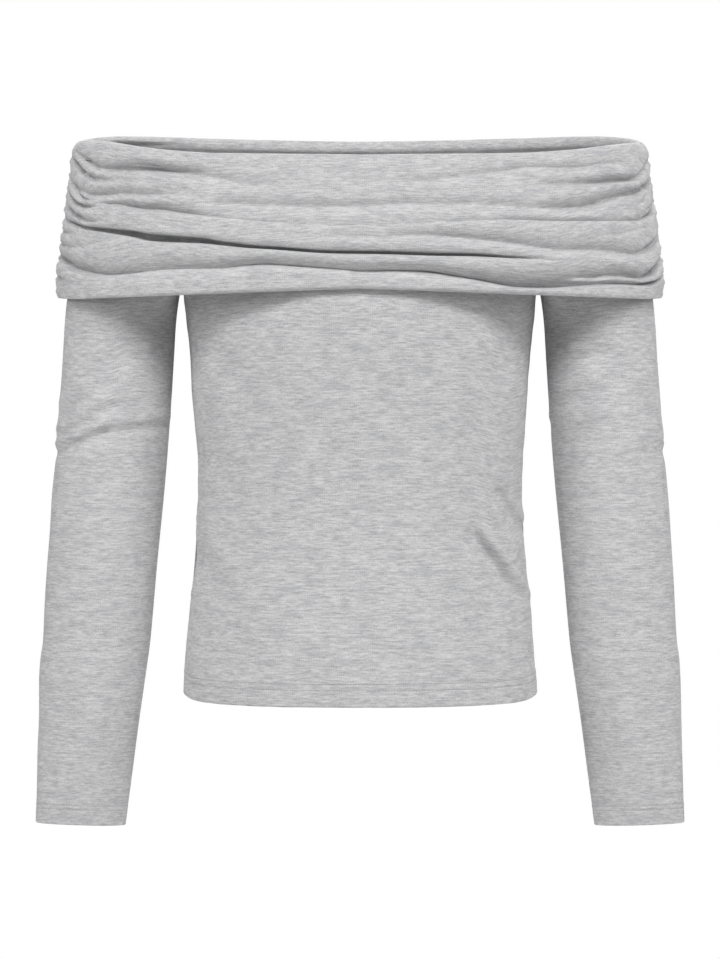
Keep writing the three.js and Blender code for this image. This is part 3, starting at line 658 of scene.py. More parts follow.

# %% [markdown]
# The band is one long double piece, gathered tightly into the two shoulder seams, so its cloth falls in
# long uneven folds between them. Each fold is a given crease line. Just under a crease the
# cloth steps out sharply, and above it the cloth sinks in slowly, as sagging folds do. Near the seams
# the creases crowd together and curl up. Each crease has its own depth, and its own reach above and
# below, along the way. Where it is set back, the cloth below it stays in as well. A cloth simulation
# would make other folds than these.

# %% Front folds
FRONT_FOLDS = [
    {"name": "upper left roll",
     "line": [(-90, -3), (-80, -8), (-73, -16), (-69, -20), (-65, -25), (-60, -30), (-52, -31),
              (-45, -31), (-38, -34), (-31, -38), (-26, -42), (-20, -46), (-12, -50)],
     "depth": [(-90, 1), (-80, 1.5), (-70, 6), (-60, 9), (-54, 9.5), (-47, 9), (-40, 8), (-33, 6.4),
               (-26, 4.4), (-18, 2.4), (-10, 0)],
     "above": [(-90, 8), (-66, 8), (-54, 13), (-40, 14), (-26, 14)],
     "below": [(-90, 3), (-60, 3.6), (-50, 6), (-40, 8), (-26, 12)]},
    {"name": "hook",
     "line": [(-90, -8), (-83, -16), (-74, -25), (-71, -30), (-64, -37), (-58, -40), (-52, -41),
              (-44, -41)],
     "depth": [(-90, 1), (-82, 4.6), (-75, 11), (-71, 12), (-65, 9), (-60, 5.5), (-54, 2.4), (-48, 0)],
     "above": [(-90, 5), (-60, 6)], "below": [(-90, 3.4), (-60, 4)]},
    {"name": "left valley",
     "line": [(-90, -20), (-80, -36), (-71, -46), (-65, -51), (-59, -52), (-50, -51.5), (-44, -54),
              (-36, -54), (-28, -56)],
     "depth": [(-90, 0.5), (-78, 3), (-70, 5), (-60, 7.5), (-52, 7), (-44, 5), (-36, 2.2), (-28, 0)],
     "above": [(-90, 6), (-60, 10)], "below": [(-90, 5), (-60, 7)]},
    {"name": "first curl",
     "line": [(-90, -24), (-76, -42), (-70, -52), (-67, -55), (-61, -56), (-54, -56)],
     "depth": [(-90, 1.5), (-82, 4), (-73, 5), (-66, 3), (-58, 0)],
     "above": [(-90, 3.6)], "below": [(-90, 2.8)]},
    {"name": "second curl",
     "line": [(-90, -33), (-80, -48), (-72, -58), (-67, -61.5), (-62, -62), (-54, -61)],
     "depth": [(-90, 1.5), (-82, 4.6), (-73, 7), (-66, 6), (-58, 1.5), (-52, 0)],
     "above": [(-90, 4.6)], "below": [(-90, 2.8)]},
    {"name": "third curl",
     "line": [(-90, -44), (-85, -56), (-75, -65), (-68, -72), (-63, -74.5), (-56, -76)],
     "depth": [(-90, 1.5), (-82, 5), (-74, 8), (-66, 6.4), (-60, 3), (-54, 0)],
     "above": [(-90, 6)], "below": [(-90, 3)]},
    {"name": "long fold",
     "line": [(-66, -56), (-57, -60), (-53, -61), (-48, -64), (-44, -66), (-40, -67), (-35, -70),
              (-30, -73), (-26, -75), (-20, -78), (-12, -81), (-3, -83), (3, -82.5), (12, -80),
              (20, -78.5), (27, -77), (39, -77), (49, -76), (58, -75), (66, -73.5), (70, -71.8),
              (76, -68), (79, -65), (82, -59), (90, -52)],
     "depth": [(-64, 0), (-57, 4.4), (-50, 7.5), (-43, 9), (-38, 8), (-32, 5.4), (-24, 2.8), (-12, 1.4),
               (0, 1.2), (12, 1), (22, 1.8), (32, 2.8), (45, 3), (58, 3), (70, 4.6), (76, 6), (80, 6.4),
               (85, 4), (90, 1.5)],
     "above": [(-64, 9), (-45, 12), (-30, 10), (0, 9), (20, 6), (60, 6), (75, 11), (90, 9)],
     "below": [(-60, 4), (-40, 3.6), (-20, 5), (0, 6), (20, 3.4), (90, 3.4)]},
    {"name": "main fold",
     "line": [(-90, -66), (-82, -71), (-73, -76), (-65, -81), (-57, -84), (-48, -88), (-43, -91.5),
              (-35, -94), (-29, -96), (-24, -99), (-20, -101), (-14, -103), (-6, -106), (5, -107),
              (13, -108), (21, -108.5), (28, -110), (36, -111), (50, -112)],
     "depth": [(-90, 1.5), (-80, 4.5), (-65, 6), (-50, 7), (-38, 7), (-25, 5.5), (-10, 5), (10, 5),
               (22, 4.6), (32, 3), (44, 0)],
     "above": [(-90, 8), (-60, 10), (-40, 9), (0, 9), (20, 11), (40, 11)], "below": [(-90, 3.6)]},
    {"name": "lower fold",
     "line": [(-90, -103), (-82, -106), (-76, -110), (-70, -115), (-64, -118), (-60, -120), (-54, -122),
              (-46, -121), (-39, -119), (-30, -118.5), (-25, -118), (-20, -116), (-16, -115.5),
              (-10, -117.5), (-3, -120), (0, -121.5), (6, -121), (12, -122), (17, -125.5), (22, -129),
              (26, -132), (30, -134), (38, -134), (44, -132.5), (50, -131), (56, -130), (66, -129.8),
              (71, -128.6), (75, -126.6), (80, -122.8), (90, -116)],
     "depth": [(-90, 2), (-84, 7), (-76, 10), (-66, 11.5), (-56, 10.5), (-46, 10), (-36, 9.5), (-26, 9),
               (-18, 9.6), (-10, 9.6), (-3, 9.6), (5, 11), (12, 12), (17, 12.4), (22, 13.4), (30, 16),
               (38, 17), (44, 14), (50, 8.5), (56, 6.5), (62, 6), (70, 6.4), (76, 6.6), (82, 4),
               (90, 1)],
     "above": [(-90, 10), (-70, 17), (-56, 18), (-40, 20), (-30, 14), (-18, 10), (0, 10), (14, 10),
               (20, 13), (30, 21), (40, 26), (46, 21), (52, 10), (60, 5), (90, 4)],
     "below": [(-90, 4.5), (-56, 6), (-40, 12), (-22, 12), (-17, 5.5), (0, 8), (12, 9), (22, 6),
               (32, 4.5), (44, 3.6), (56, 3), (90, 3)],
     "set_back": [(-56, 0), (-36, 3), (-20, 4), (0, 4.4), (16, 4), (32, 2.4), (46, 0)]},
    {"name": "right ridge",
     "line": [(40, -126), (48, -125), (52, -123.5), (60, -123.2), (66, -124), (69, -122.9), (73, -120),
              (75, -117.4), (78, -113), (82, -108.4), (90, -99)],
     "depth": [(40, 0), (46, 5), (52, 11.5), (60, 12), (68, 12.4), (73, 13), (78, 14), (82, 9),
               (90, 1)],
     "above": [(40, 20), (50, 17), (60, 15), (70, 12), (90, 7)], "below": [(40, 3.6)]},
    {"name": "right hollow",
     "line": [(-8, -92), (3, -93), (10, -91.5), (18, -93), (22, -95), (26, -96.5), (30, -98.5),
              (34, -100.5), (39, -102.5), (44, -102), (48, -101.5), (56, -102.5), (62, -103.5),
              (66, -103), (70, -102), (75, -97), (80, -92), (90, -84)],
     "depth": [(-8, 0), (3, 2.2), (10, 4.6), (18, 7), (26, 7.4), (38, 8.4), (50, 8.6), (62, 8),
               (70, 6.6), (78, 4.4), (86, 2), (90, 1)],
     "above": [(-8, 9), (18, 12), (34, 17), (60, 17), (72, 12), (80, 7)],
     "below": [(-8, 6), (18, 8), (26, 6), (40, 8), (62, 9), (72, 5), (90, 3)]},
    {"name": "right pinch",
     "line": [(60, -103), (66, -101.5), (70, -97.8), (73, -95), (76, -91.6), (81, -87), (90, -79)],
     "depth": [(60, 0), (68, 2.4), (73, 6), (78, 7.5), (83, 5), (90, 1.5)],
     "above": [(62, 5)], "below": [(62, 3)]},
    {"name": "small pinch",
     "line": [(46, -89), (53, -88), (58, -86.5), (66, -82), (74, -76), (90, -66)],
     "depth": [(46, 0), (53, 1.6), (60, 1.8), (68, 1.2), (76, 0)],
     "above": [(46, 4)], "below": [(46, 3)]},
    {"name": "upper right fold",
     "line": [(30, -46), (40, -46), (46, -44.5), (50, -43.5), (56, -41), (60, -39.8), (66, -38),
              (70, -35.1), (73, -31), (76, -25.9), (80, -21.5), (90, -14)],
     "depth": [(30, 0), (38, 2.6), (45, 6.6), (52, 9), (58, 10.4), (64, 10.6), (68, 9.4), (73, 7),
               (78, 5.5), (84, 3), (90, 1)],
     "above": [(30, 10), (50, 10), (64, 8), (72, 5), (80, 4.6), (90, 5)], "below": [(30, 4)]},
    {"name": "second right fold",
     "line": [(24, -63), (30, -65), (36, -66.5), (40, -66), (46, -64.5), (50, -61.5), (55, -57.5),
              (58, -55), (62, -52), (68, -49.8), (73, -46.4), (78, -40.8), (80, -38), (83, -33),
              (90, -27)],
     "depth": [(22, 0), (30, 3), (36, 5.4), (42, 8.4), (50, 10.4), (58, 10.6), (66, 11.4), (72, 12),
               (78, 12), (83, 8), (90, 1.5)],
     "above": [(22, 10), (34, 12), (64, 12), (74, 8), (82, 6), (90, 5)],
     "below": [(22, 8), (50, 7), (68, 5), (90, 3.6)]},
    {"name": "right curl",
     "line": [(68, -60), (72, -55), (75, -50), (79, -42), (84, -37), (90, -31)],
     "depth": [(66, 0), (74, 4.5), (82, 4.6), (90, 1.5)],
     "above": [(68, 4)], "below": [(68, 2.8)]},
    {"name": "middle valley",
     "line": [(-34, -62), (-26, -63.5), (-18, -65), (-10, -66), (-3, -67), (3, -66), (8, -63.5),
              (14, -64), (22, -64), (30, -66)],
     "depth": [(-34, 0), (-26, 3.4), (-18, 4), (-10, 4.2), (0, 4.2), (10, 4), (18, 4), (24, 3.4),
               (32, 0)],
     "above": [(-34, 10)], "below": [(-34, 12)]},
    {"name": "upper right shade",
     "line": [(-2, -45), (10, -45), (20, -39), (26, -36), (33, -31), (45, -30), (56, -25), (66, -21)],
     "depth": [(-2, 0), (6, 1.6), (18, 2.6), (33, 3), (50, 3), (60, 2), (67, 0)],
     "above": [(0, 9)], "below": [(0, 8)]},
    {"name": "right nick",
     "line": [(70, -64), (75, -62), (78, -58.5), (81, -52), (84, -46.5), (90, -40)],
     "depth": [(70, 0), (75, 2), (79, 5.5), (83, 5), (90, 1.5)],
     "above": [(90, 3.6)], "below": [(90, 2.6)]},
    {"name": "upper left pinch",
     "line": [(-90, -79), (-76, -83), (-66, -86)],
     "depth": [(-90, 2.6), (-86, 6.4), (-80, 5), (-74, 2.4), (-66, 0)],
     "above": [(-90, 3.4)], "below": [(-90, 2.4)]},
    {"name": "middle left pinch",
     "line": [(-90, -90), (-80, -93), (-72, -96), (-64, -97), (-56, -95)],
     "depth": [(-90, 2.4), (-86, 6), (-80, 4.6), (-72, 4), (-64, 3), (-55, 0)],
     "above": [(-90, 3), (-78, 4.6), (-66, 6)], "below": [(-90, 2.4), (-78, 4), (-66, 5)]},
    {"name": "lower left pinch",
     "line": [(-90, -117), (-85, -121.5), (-78, -123.5), (-70, -126)],
     "depth": [(-90, 2.6), (-86, 7), (-80, 4.6), (-70, 0)],
     "above": [(-90, 3.4)], "below": [(-90, 2.4)]},
]
print(len(FRONT_FOLDS), "front folds")

# %% [markdown]
# The main fold opens into a dark slit, widest to the left of the middle, where the cloth above hangs
# clear of the cloth below. It is cut in as a narrow deep channel, raised a little above the crease
# line, with its own width along the way. The tight folds at both seams end in short dark nicks, which
# are cut in the same way. A slit has the name of the crease that it follows.

# %% Slits
FRONT_SLITS = [
    {"name": "main fold", "raise": 0.9,
     "half_height": [(-90, 0.4), (-74, 0.7), (-60, 1.2), (-48, 2.2), (-38, 2.8), (-30, 1.9), (-22, 1.2),
                     (-5, 1), (10, 1.1), (20, 1), (28, 0.6), (34, 0.3)],
     "depth": [(-84, 0), (-76, 3), (-66, 6), (-55, 9), (-46, 12), (-38, 13), (-28, 11), (-20, 8),
               (-10, 6), (0, 5.4), (14, 6), (22, 5), (30, 2), (35, 0)]},
    {"name": "upper right fold", "raise": 1.2, "half_height": [(50, 0.6), (62, 1), (70, 0.5)],
     "depth": [(50, 0), (57, 1.6), (64, 3), (69, 2), (74, 0)]},
    {"name": "second right fold", "raise": 1.5, "half_height": [(60, 0.6), (74, 1.3), (82, 0.9)],
     "depth": [(58, 0), (66, 2), (73, 6), (79, 7), (84, 4), (88, 0)]},
    {"name": "right nick", "raise": 0.8, "half_height": [(74, 0.5), (80, 0.9), (86, 0.5)],
     "depth": [(74, 0), (78, 4), (82, 5), (87, 0)]},
    {"name": "long fold", "raise": 1, "half_height": [(70, 0.4), (79, 1), (84, 0.6)],
     "depth": [(70, 0), (76, 3), (80, 5), (84, 3), (87, 0)]},
    {"name": "right pinch", "raise": 1, "half_height": [(68, 0.5), (76, 1), (84, 0.5)],
     "depth": [(68, 0), (74, 3), (79, 5), (83, 3), (87, 0)]},
    {"name": "right ridge", "raise": 1.4, "half_height": [(70, 0.3), (77, 1.3), (84, 0.8)],
     "depth": [(70, 0), (74, 5), (78, 9), (82, 8), (87, 0)]},
    {"name": "lower fold", "raise": 0.8,
     "half_height": [(-90, 0.6), (-84, 1.2), (-76, 0.5), (56, 0.4), (70, 0.7), (78, 0.5)],
     "depth": [(-89, 0), (-85, 6), (-80, 5), (-74, 0), (58, 0), (66, 2), (74, 4), (80, 3), (86, 0)]},
    {"name": "hook", "raise": 0.9, "half_height": [(-86, 0.5), (-76, 1), (-66, 0.5)],
     "depth": [(-87, 0), (-80, 3.4), (-73, 4), (-66, 2), (-60, 0)]},
    {"name": "first curl", "raise": 0.7, "half_height": [(-86, 0.5), (-74, 0.7)],
     "depth": [(-87, 0), (-80, 3), (-72, 2.4), (-64, 0)]},
    {"name": "second curl", "raise": 0.8, "half_height": [(-86, 0.5), (-74, 0.9)],
     "depth": [(-87, 0), (-80, 3.6), (-72, 3.4), (-63, 0)]},
    {"name": "third curl", "raise": 0.8, "half_height": [(-86, 0.5), (-74, 0.9)],
     "depth": [(-87, 0), (-80, 3.6), (-73, 3.4), (-64, 0)]},
    {"name": "upper left pinch", "raise": 0.8, "half_height": [(-90, 0.9), (-80, 0.5)],
     "depth": [(-90, 2), (-86, 5), (-82, 3), (-78, 0)]},
    {"name": "middle left pinch", "raise": 0.8, "half_height": [(-90, 0.9), (-80, 0.5)],
     "depth": [(-90, 2), (-86, 5), (-82, 3), (-78, 0)]},
    {"name": "lower left pinch", "raise": 0.8, "half_height": [(-90, 0.9), (-80, 0.5)],
     "depth": [(-90, 2), (-86, 5), (-81, 3), (-76, 0)]},
]
BACK_SLITS = [
    {"name": "main back fold", "raise": 0.8, "half_height": [(-90, 0.5), (10, 0.9), (60, 0.5)],
     "depth": [(-20, 0), (0, 3), (26, 4.4), (48, 3), (66, 0)]},
    {"name": "left back curl", "raise": 0.8, "half_height": [(-86, 0.5), (-74, 0.8)],
     "depth": [(-87, 0), (-80, 3.4), (-72, 3), (-64, 0)]},
    {"name": "right back hook", "raise": 0.8, "half_height": [(66, 0.6), (80, 0.9)],
     "depth": [(60, 0), (70, 3), (80, 4.4), (87, 0)]},
    {"name": "lower back fold", "raise": 0.8, "half_height": [(-86, 0.9), (-74, 0.6), (78, 0.8)],
     "depth": [(-88, 0), (-84, 4), (-76, 0), (72, 0), (80, 4.4), (87, 0)]},
]
SLIT_SIDE = 0.5
print(len(FRONT_SLITS), "slits in front and", len(BACK_SLITS), "behind")

# %% [markdown]
# The back doesn't show in the picture. Four long folds run from seam to seam there, with a few short
# curls and pinches at each end. They are like the front's folds, but not the same.

# %% Back folds
BACK_FOLDS = [
    {"name": "upper back fold",
     "line": [(-90, -24), (-65, -22), (-35, -14), (0, -12), (35, -18), (65, -27), (90, -22)],
     "depth": [(-90, 1.5), (-65, 6.5), (-35, 5.7), (0, 3.8), (35, 5.3), (65, 6.8), (90, 1.5)],
     "above": [(0, 12)], "below": [(0, 4)]},
    {"name": "second back fold",
     "line": [(-90, -46), (-65, -50), (-35, -40), (0, -37), (35, -34), (65, -44), (90, -42)],
     "depth": [(-90, 1.5), (-65, 7.6), (-35, 4.9), (0, 6.5), (35, 6.5), (65, 5.7), (90, 1.5)],
     "above": [(0, 13)], "below": [(0, 4.2)]},
    {"name": "main back fold",
     "line": [(-90, -86), (-65, -84), (-35, -78), (0, -70), (35, -66), (65, -70), (90, -66)],
     "depth": [(-90, 1.5), (-65, 8.5), (-35, 11.4), (0, 11.8), (35, 10.3), (65, 8.5), (90, 1.5)],
     "above": [(0, 14)], "below": [(0, 4.5)]},
    {"name": "lower back fold",
     "line": [(-90, -118), (-65, -112), (-35, -104), (0, -100), (35, -106), (65, -114), (90, -106)],
     "depth": [(-90, 1.5), (-65, 8.4), (-35, 9.9), (0, 8), (35, 9.9), (65, 9.5), (90, 1.5)],
     "above": [(0, 13)], "below": [(0, 4.2)]},
    {"name": "left back curl",
     "line": [(-90, -30), (-82, -44), (-73, -58), (-66, -62), (-56, -62)],
     "depth": [(-90, 1.5), (-80, 8), (-72, 7.6), (-64, 3.8), (-56, 0)],
     "above": [(0, 4)], "below": [(0, 3)]},
    {"name": "left back hook",
     "line": [(-90, -58), (-82, -66), (-74, -72), (-64, -73), (-52, -68)],
     "depth": [(-90, 1.5), (-80, 7.6), (-70, 6.5), (-60, 3), (-50, 0)],
     "above": [(0, 4.5)], "below": [(0, 3)]},
    {"name": "left back pinch",
     "line": [(-90, -98), (-80, -100), (-68, -98), (-54, -92)],
     "depth": [(-90, 4.2), (-80, 6.5), (-68, 4.2), (-54, 0)],
     "above": [(0, 4.5)], "below": [(0, 3)]},
    {"name": "right back curl",
     "line": [(58, -56), (66, -58), (74, -52), (82, -38), (90, -28)],
     "depth": [(56, 0), (66, 4.6), (74, 8.4), (82, 7.6), (90, 1.5)],
     "above": [(0, 4.5)], "below": [(0, 3)]},
    {"name": "right back hook",
     "line": [(48, -82), (58, -88), (68, -90), (78, -84), (90, -72)],
     "depth": [(46, 0), (58, 4.6), (68, 7.6), (80, 8), (90, 1.5)],
     "above": [(0, 6)], "below": [(0, 3)]},
    {"name": "right back pinch",
     "line": [(66, -100), (76, -101), (90, -90)],
     "depth": [(64, 0), (76, 5.7), (84, 5.7), (90, 3.8)],
     "above": [(0, 3.4)], "below": [(0, 2.6)]},
    {"name": "back middle shade",
     "line": [(-50, -26), (-20, -22), (10, -24), (44, -30)],
     "depth": [(-50, 0), (-20, 1.4), (10, 3), (30, 1.2), (46, 0)],
     "above": [(0, 9)], "below": [(0, 6)]},
    {"name": "back lower shade",
     "line": [(-34, -90), (-10, -84), (20, -84), (50, -92)],
     "depth": [(-34, 0), (-10, 3.4), (16, 4.2), (34, 3), (50, 0)],
     "above": [(0, 10)], "below": [(0, 5)]},
]
print(len(BACK_FOLDS), "back folds")

# %% How the folds move the cloth
SEAM_GROOVE = {"depth": 1.6, "reach": 2.2}
GATHER = {"height": 0.8, "reach": 5, "pitch": 10.5, "small_pitch": 6.1}
BAND_SWELL = {"out": 0.35, "size": 60}
LEVEL = [(-90, 0), (90, 0)]


def fold_out(folds, slits, side_seed, turn, z):
    """How far the gathers move the band's cloth in at some turns and heights."""
    out = 0 * z
    for fold in folds:
        away = z - round_band(fold["line"], turn)
        depth = np.maximum(round_band(fold["depth"], turn), 0)
        set_back = np.minimum(depth, round_band(fold.get("set_back", LEVEL), turn))
        above = np.clip(1 - away / round_band(fold["above"], turn), 0, 1) ** 2
        below = np.clip(1 + away / round_band(fold["below"], turn), 0, 1) ** 2
        out = out - np.where(away > 0, depth * above, set_back + (depth - set_back) * below)
        for slit in (row for row in slits if row["name"] == fold["name"]):
            beyond = np.abs(away - slit["raise"]) - round_band(slit["half_height"], turn)
            cut = 1 - smooth(beyond / SLIT_SIDE)
            out = out - np.maximum(round_band(slit["depth"], turn), 0) * cut
    swell = BAND_SWELL["out"] * drift(turn * 4, z * 2, BAND_SWELL["size"], side_seed)
    return out + gathers(turn, z) + swell


def gathers(turn, z):
    """Small puckers beside the two shoulder seams, and the groove of each seam."""
    side = np.where(turn < 0, 0.0, 1.7)
    near = 90 - np.abs(turn)
    ripple = np.sin(2 * math.pi * z / GATHER["pitch"] + side)
    ripple = ripple + 0.6 * np.sin(2 * math.pi * z / GATHER["small_pitch"] + 2 * side + 1)
    groove = SEAM_GROOVE["depth"] * np.exp(-near / SEAM_GROOVE["reach"])
    return GATHER["height"] * ripple * np.exp(-near / GATHER["reach"]) - groove


def line_of(folds, name):
    """The crease line of a fold."""
    return next(fold["line"] for fold in folds if fold["name"] == name)


under_main_fold = fold_out(FRONT_FOLDS, FRONT_SLITS, 5, np.array([-38.0]), np.array([-92.0]))
print("the main fold's slit goes", -round(float(under_main_fold[0]), 1), "mm in")

# %% [markdown]
# The band's grid has most of its rows close to the three longest crease lines, so that their edges stay
# crisp with few points elsewhere. Each column starts inside, on the rolled top edge, goes down the
# outside, round the soft lower fold and back up behind. The front's top edge stands a little higher near
# the left end, and the back sags away from the opening there, which leaves a dark gap between them.

# %% Band panels
FRONT_GUIDES = [
    [(-90, -42), (-75, -53), (-58, -59), (-51, -63), (-42, -67), (-35, -71), (-28, -76), (-20, -79),
     (-10, -82), (-3, -83.5), (8, -81), (20, -79), (27, -77), (39, -77), (54, -75.5), (67, -72),
     (78, -65), (90, -56)],
    line_of(FRONT_FOLDS, "main fold") + [(70, -104), (90, -88)],
    line_of(FRONT_FOLDS, "lower fold"),
]
BACK_GUIDES = [line_of(BACK_FOLDS, name)
               for name in ("second back fold", "main back fold", "lower back fold")]
ROWS_BETWEEN = [46, 34, 34, 26]
BAND_STEP = 0.6
BAND_THICKNESS = 2.4
BEHIND_STEP = 3
BEHIND_FIRST_ROW = 6
EDGE_BLEND = 9
BAND_EDGE = {"height": 3.8, "thickness": 2.6, "fullness": 5.4, "steps": 11}
ROLL = [(-9.5, 15), (-9.5, 12.5), (-9.5, 10.8), (-9.5, 9), (-9.5, 6.5), (-9.4, 5.4), (-9.2, 4.2),
        (-8.7, 3), (-7.7, 1.4), (-6.4, 0.45), (-5, 0), (-3.6, 0.35), (-2.3, 1.3), (-1.3, 2.7),
        (-0.6, 4.5), (-0.2, 6.6), (0, 8.6)]
ROLL_FOOT = 10
ROLL_CLEAR = {"below": 6, "reach": 10}
INSIDE_OF_ROLL = -6
FRONT_RISE = [(-90, 0), (-84, 0.8), (-78, 1.6), (-70, 2.4), (-60, 2.9), (-52, 2.3), (-45, 1.5),
              (-36, 0.7), (-28, 0), (90, 0)]
BACK_COVES = [
    {"from": 5.1, "turn": 1.5,
     "depth": [(-86, 0), (-75, 4.5), (-66, 6.2), (-56, 6), (-50, 3.6), (-44, 1.6), (-36, 0), (90, 0)]},
    {"from": 9.4, "turn": 3.2, "depth": [(-62, 0), (-44, 3), (0, 3.6), (50, 3.4), (76, 2.4), (88, 0)]},
]
TIGHT = 0.78


def band_heights(guides, turn, top, edge):
    """Row heights down the outside, crowded towards the guide lines."""
    lines = [top - ROLL_FOOT, *(round_band(guide, turn) for guide in guides), edge]
    rows = []
    for high, low, count in zip(lines, lines[1:], ROWS_BETWEEN):
        t = np.arange(count) / count
        t = t - TIGHT * np.sin(2 * math.pi * t) / (2 * math.pi)
        rows.append(high[:, None] * (1 - t) + low[:, None] * t)
    rows.append(edge[:, None])
    return np.concatenate(rows, axis=1)


def rolled_edge(top, turn, coves):
    """The rolled top edge, from inside the neckline over the top: how far out it is, and how high."""
    out, drop = (np.array(values)[None, :] for values in zip(*ROLL))
    out = out + 0 * top[:, None]
    inside = out < INSIDE_OF_ROLL
    for cove in coves:
        hollow = round_band(cove["depth"], turn)[:, None] * smooth((drop - cove["from"]) / cove["turn"])
        out = out + np.where(inside, hollow, 0)
    return out, top[:, None] - drop


def lower_fold(edge, thick, last_out):
    """The soft fold at the lower edge, half a turn from the outside to the cloth behind."""
    around = np.linspace(0, math.pi, BAND_EDGE["steps"] + 1)[None, 1:-1]
    z = edge[:, None] - BAND_EDGE["height"] * np.sin(around)
    return last_out - thick * (1 - np.cos(around)) / 2, z


def cloth_behind(out, z, edge, thick, ledge):
    """The back of the double cloth, from the lower fold up to the ledge at the neckline seam."""
    rows = np.arange(z.shape[1] - 1, BEHIND_FIRST_ROW, -BEHIND_STEP)
    blend = smooth((z[:, rows] - edge[:, None]) / EDGE_BLEND)
    behind = out[:, rows] - (thick * (1 - blend) + BAND_THICKNESS * blend)
    ledge_z = ledge[:, None]
    crowded = ledge_z - 0.01 * (np.arange(len(rows))[::-1] + 1)
    behind_z = np.where(z[:, rows] < ledge_z - 0.5, z[:, rows], crowded)
    ledge_out = 0 * ledge_z - BAND_THICKNESS
    return np.concatenate([behind, ledge_out], axis=1), np.concatenate([behind_z, ledge_z], axis=1)


def band_panel(name, folds, slits, guides, rise, coves, face, seed):
    """The front or back of the band. Face -1 is the front."""
    turn = np.linspace(-90, 90, round(180 / BAND_STEP) + 1)
    ring_turn = turn if face < 0 else np.where(turn < 0, -180 - turn, 180 - turn)
    seam_top = round_band(BAND_TOP, np.abs(ring_turn))
    top = seam_top + round_band(rise, turn)
    edge = round_band(BAND_BOTTOM, np.abs(ring_turn)) + BAND_EDGE["height"]
    z = band_heights(guides, turn, top, edge)
    out = fold_out(folds, slits, seed, turn[:, None], z)
    out = out * smooth((top[:, None] - ROLL_CLEAR["below"] - z) / ROLL_CLEAR["reach"])
    thick = BAND_EDGE["thickness"] + BAND_EDGE["fullness"] * np.cos(np.radians(turn[:, None])) ** 2
    roll_out, roll_z = rolled_edge(top, turn, coves)
    edge_out, edge_z = lower_fold(edge, thick, out[:, -1:])
    behind_out, behind_z = cloth_behind(out, z, edge, thick, seam_top - ROLL_DROP)
    outer_out = np.concatenate([roll_out, out, edge_out], axis=1)
    outer = band_point(ring_turn[:, None], np.concatenate([roll_z, z, edge_z], axis=1), outer_out)
    behind = band_point(ring_turn[:, None], behind_z, behind_out)
    for grid in (outer, behind):
        grid[..., 1] += face * SEAM_GAP / 2
    places = flat_places(outer, False, True)
    behind_places = flat_places(behind[:, ::-1], False, True)[:, ::-1]
    return shell(name, outer, behind, False, np.concatenate([places, behind_places], axis=1))


band_front = band_panel("band_front_cloth", FRONT_FOLDS, FRONT_SLITS, FRONT_GUIDES, FRONT_RISE, [],
                        -1, 5)
band_back = band_panel("band_back_cloth", BACK_FOLDS, BACK_SLITS, BACK_GUIDES, LEVEL, BACK_COVES,
                       1, 9)
for piece in (band_front, band_back):
    report(piece)

# %% [markdown]
# Melange jersey is knitted from light and dark fibres spun together. Along each course the yarn goes
# from light to dark and back, which gives short flecks across the cloth, with soft bluish patches.
# The material reads the cloth's own flat map, so that the flecks bend with the folds. The small class
# below lets a shader number be added and multiplied like any other, so that the pattern reads as a
# formula.

# %% Shader arithmetic
class Number:
    """A number in a material's node tree. Arithmetic on it adds Math nodes."""

    def __init__(self, tree, socket):
        self.tree = tree
        self.socket = socket

    def math(self, operation, *others):
        made = self.tree.nodes.new("ShaderNodeMath")
        made.operation = operation
        for entry, value in zip(made.inputs, (self, *others)):
            plug(self.tree, entry, value)
        return Number(self.tree, made.outputs[0])

    def __add__(self, other):
        return self.math("ADD", other)

    def __mul__(self, other):
        return self.math("MULTIPLY", other)

    def __sub__(self, other):
        return self.math("SUBTRACT", other)

    def __truediv__(self, other):
        return self.math("DIVIDE", other)

    def __rsub__(self, other):
        return (self * -1) + other

    __radd__ = __add__
    __rmul__ = __mul__


def plug(tree, entry, value):
    """Links a Number to an input, or sets the input to a plain value."""
    if isinstance(value, Number):
        tree.links.new(value.socket, entry)
    else:
        entry.default_value = value


def node(tree, kind, output, settings=(), **inputs):
    """Adds a node of any kind, and returns one of its outputs."""
    made = tree.nodes.new(kind)
    for name, value in dict(settings).items():
        setattr(made, name, value)
    for name, value in inputs.items():
        plug(tree, made.inputs[name.replace("_", " ")], value)
    return Number(tree, made.outputs[output])


# %% [markdown]
# Five layers of noise make the pattern: short flecks, longer streaks, broad patches, single fibres and
# the fine ribs. Each has its own width and height on the flat cloth, in mm, and its own share in the
# shade. A low wave stands for the wales, and a slight bump gives the cloth its soft, uneven face.

# %% Melange jersey
LIGHT_GREY = (0.577, 0.574, 0.577, 1)
DARK_GREY = (0.325, 0.325, 0.334, 1)
BLUISH = (0.418, 0.419, 0.448, 1)
LAYERS = {
    "flecks": {"width": 8.0, "height": 1.2, "detail": 1, "shift": 0, "share": 1.7},
    "streaks": {"width": 19.0, "height": 1.9, "detail": 2, "shift": 7, "share": 1.2},
    "patches": {"width": 24.0, "height": 7.0, "detail": 1, "shift": 13, "share": 0.8},
    "fibres": {"width": 2.0, "height": 0.6, "detail": 1, "shift": 21, "share": 0.9},
    "ribs": {"width": 0.9, "height": 2.6, "detail": 1, "shift": 33, "share": 0.8},
}
WALE_PITCH = 1.7
WALE_SHARE = 0.06
MIDDLE_SHADE = 0.44
TINT_GAIN = 3.0
TINT_MOST = 0.5
RELIEF = {"wales": 0.05, "fibres": 0.16, "flecks": 0.12}
BUMP_STRENGTH = 0.55


def noise(tree, across, down, width, height, detail, shift):
    """Noise on the flat cloth whose patches are about this wide and high, in mm."""
    x = across / width + shift
    vector = node(tree, "ShaderNodeCombineXYZ", "Vector", X=x, Y=down / height, Z=shift)
    return node(tree, "ShaderNodeTexNoise", 0, {"noise_dimensions": "3D"}, Vector=vector, Scale=1.0,
                Detail=detail, Roughness=0.55)


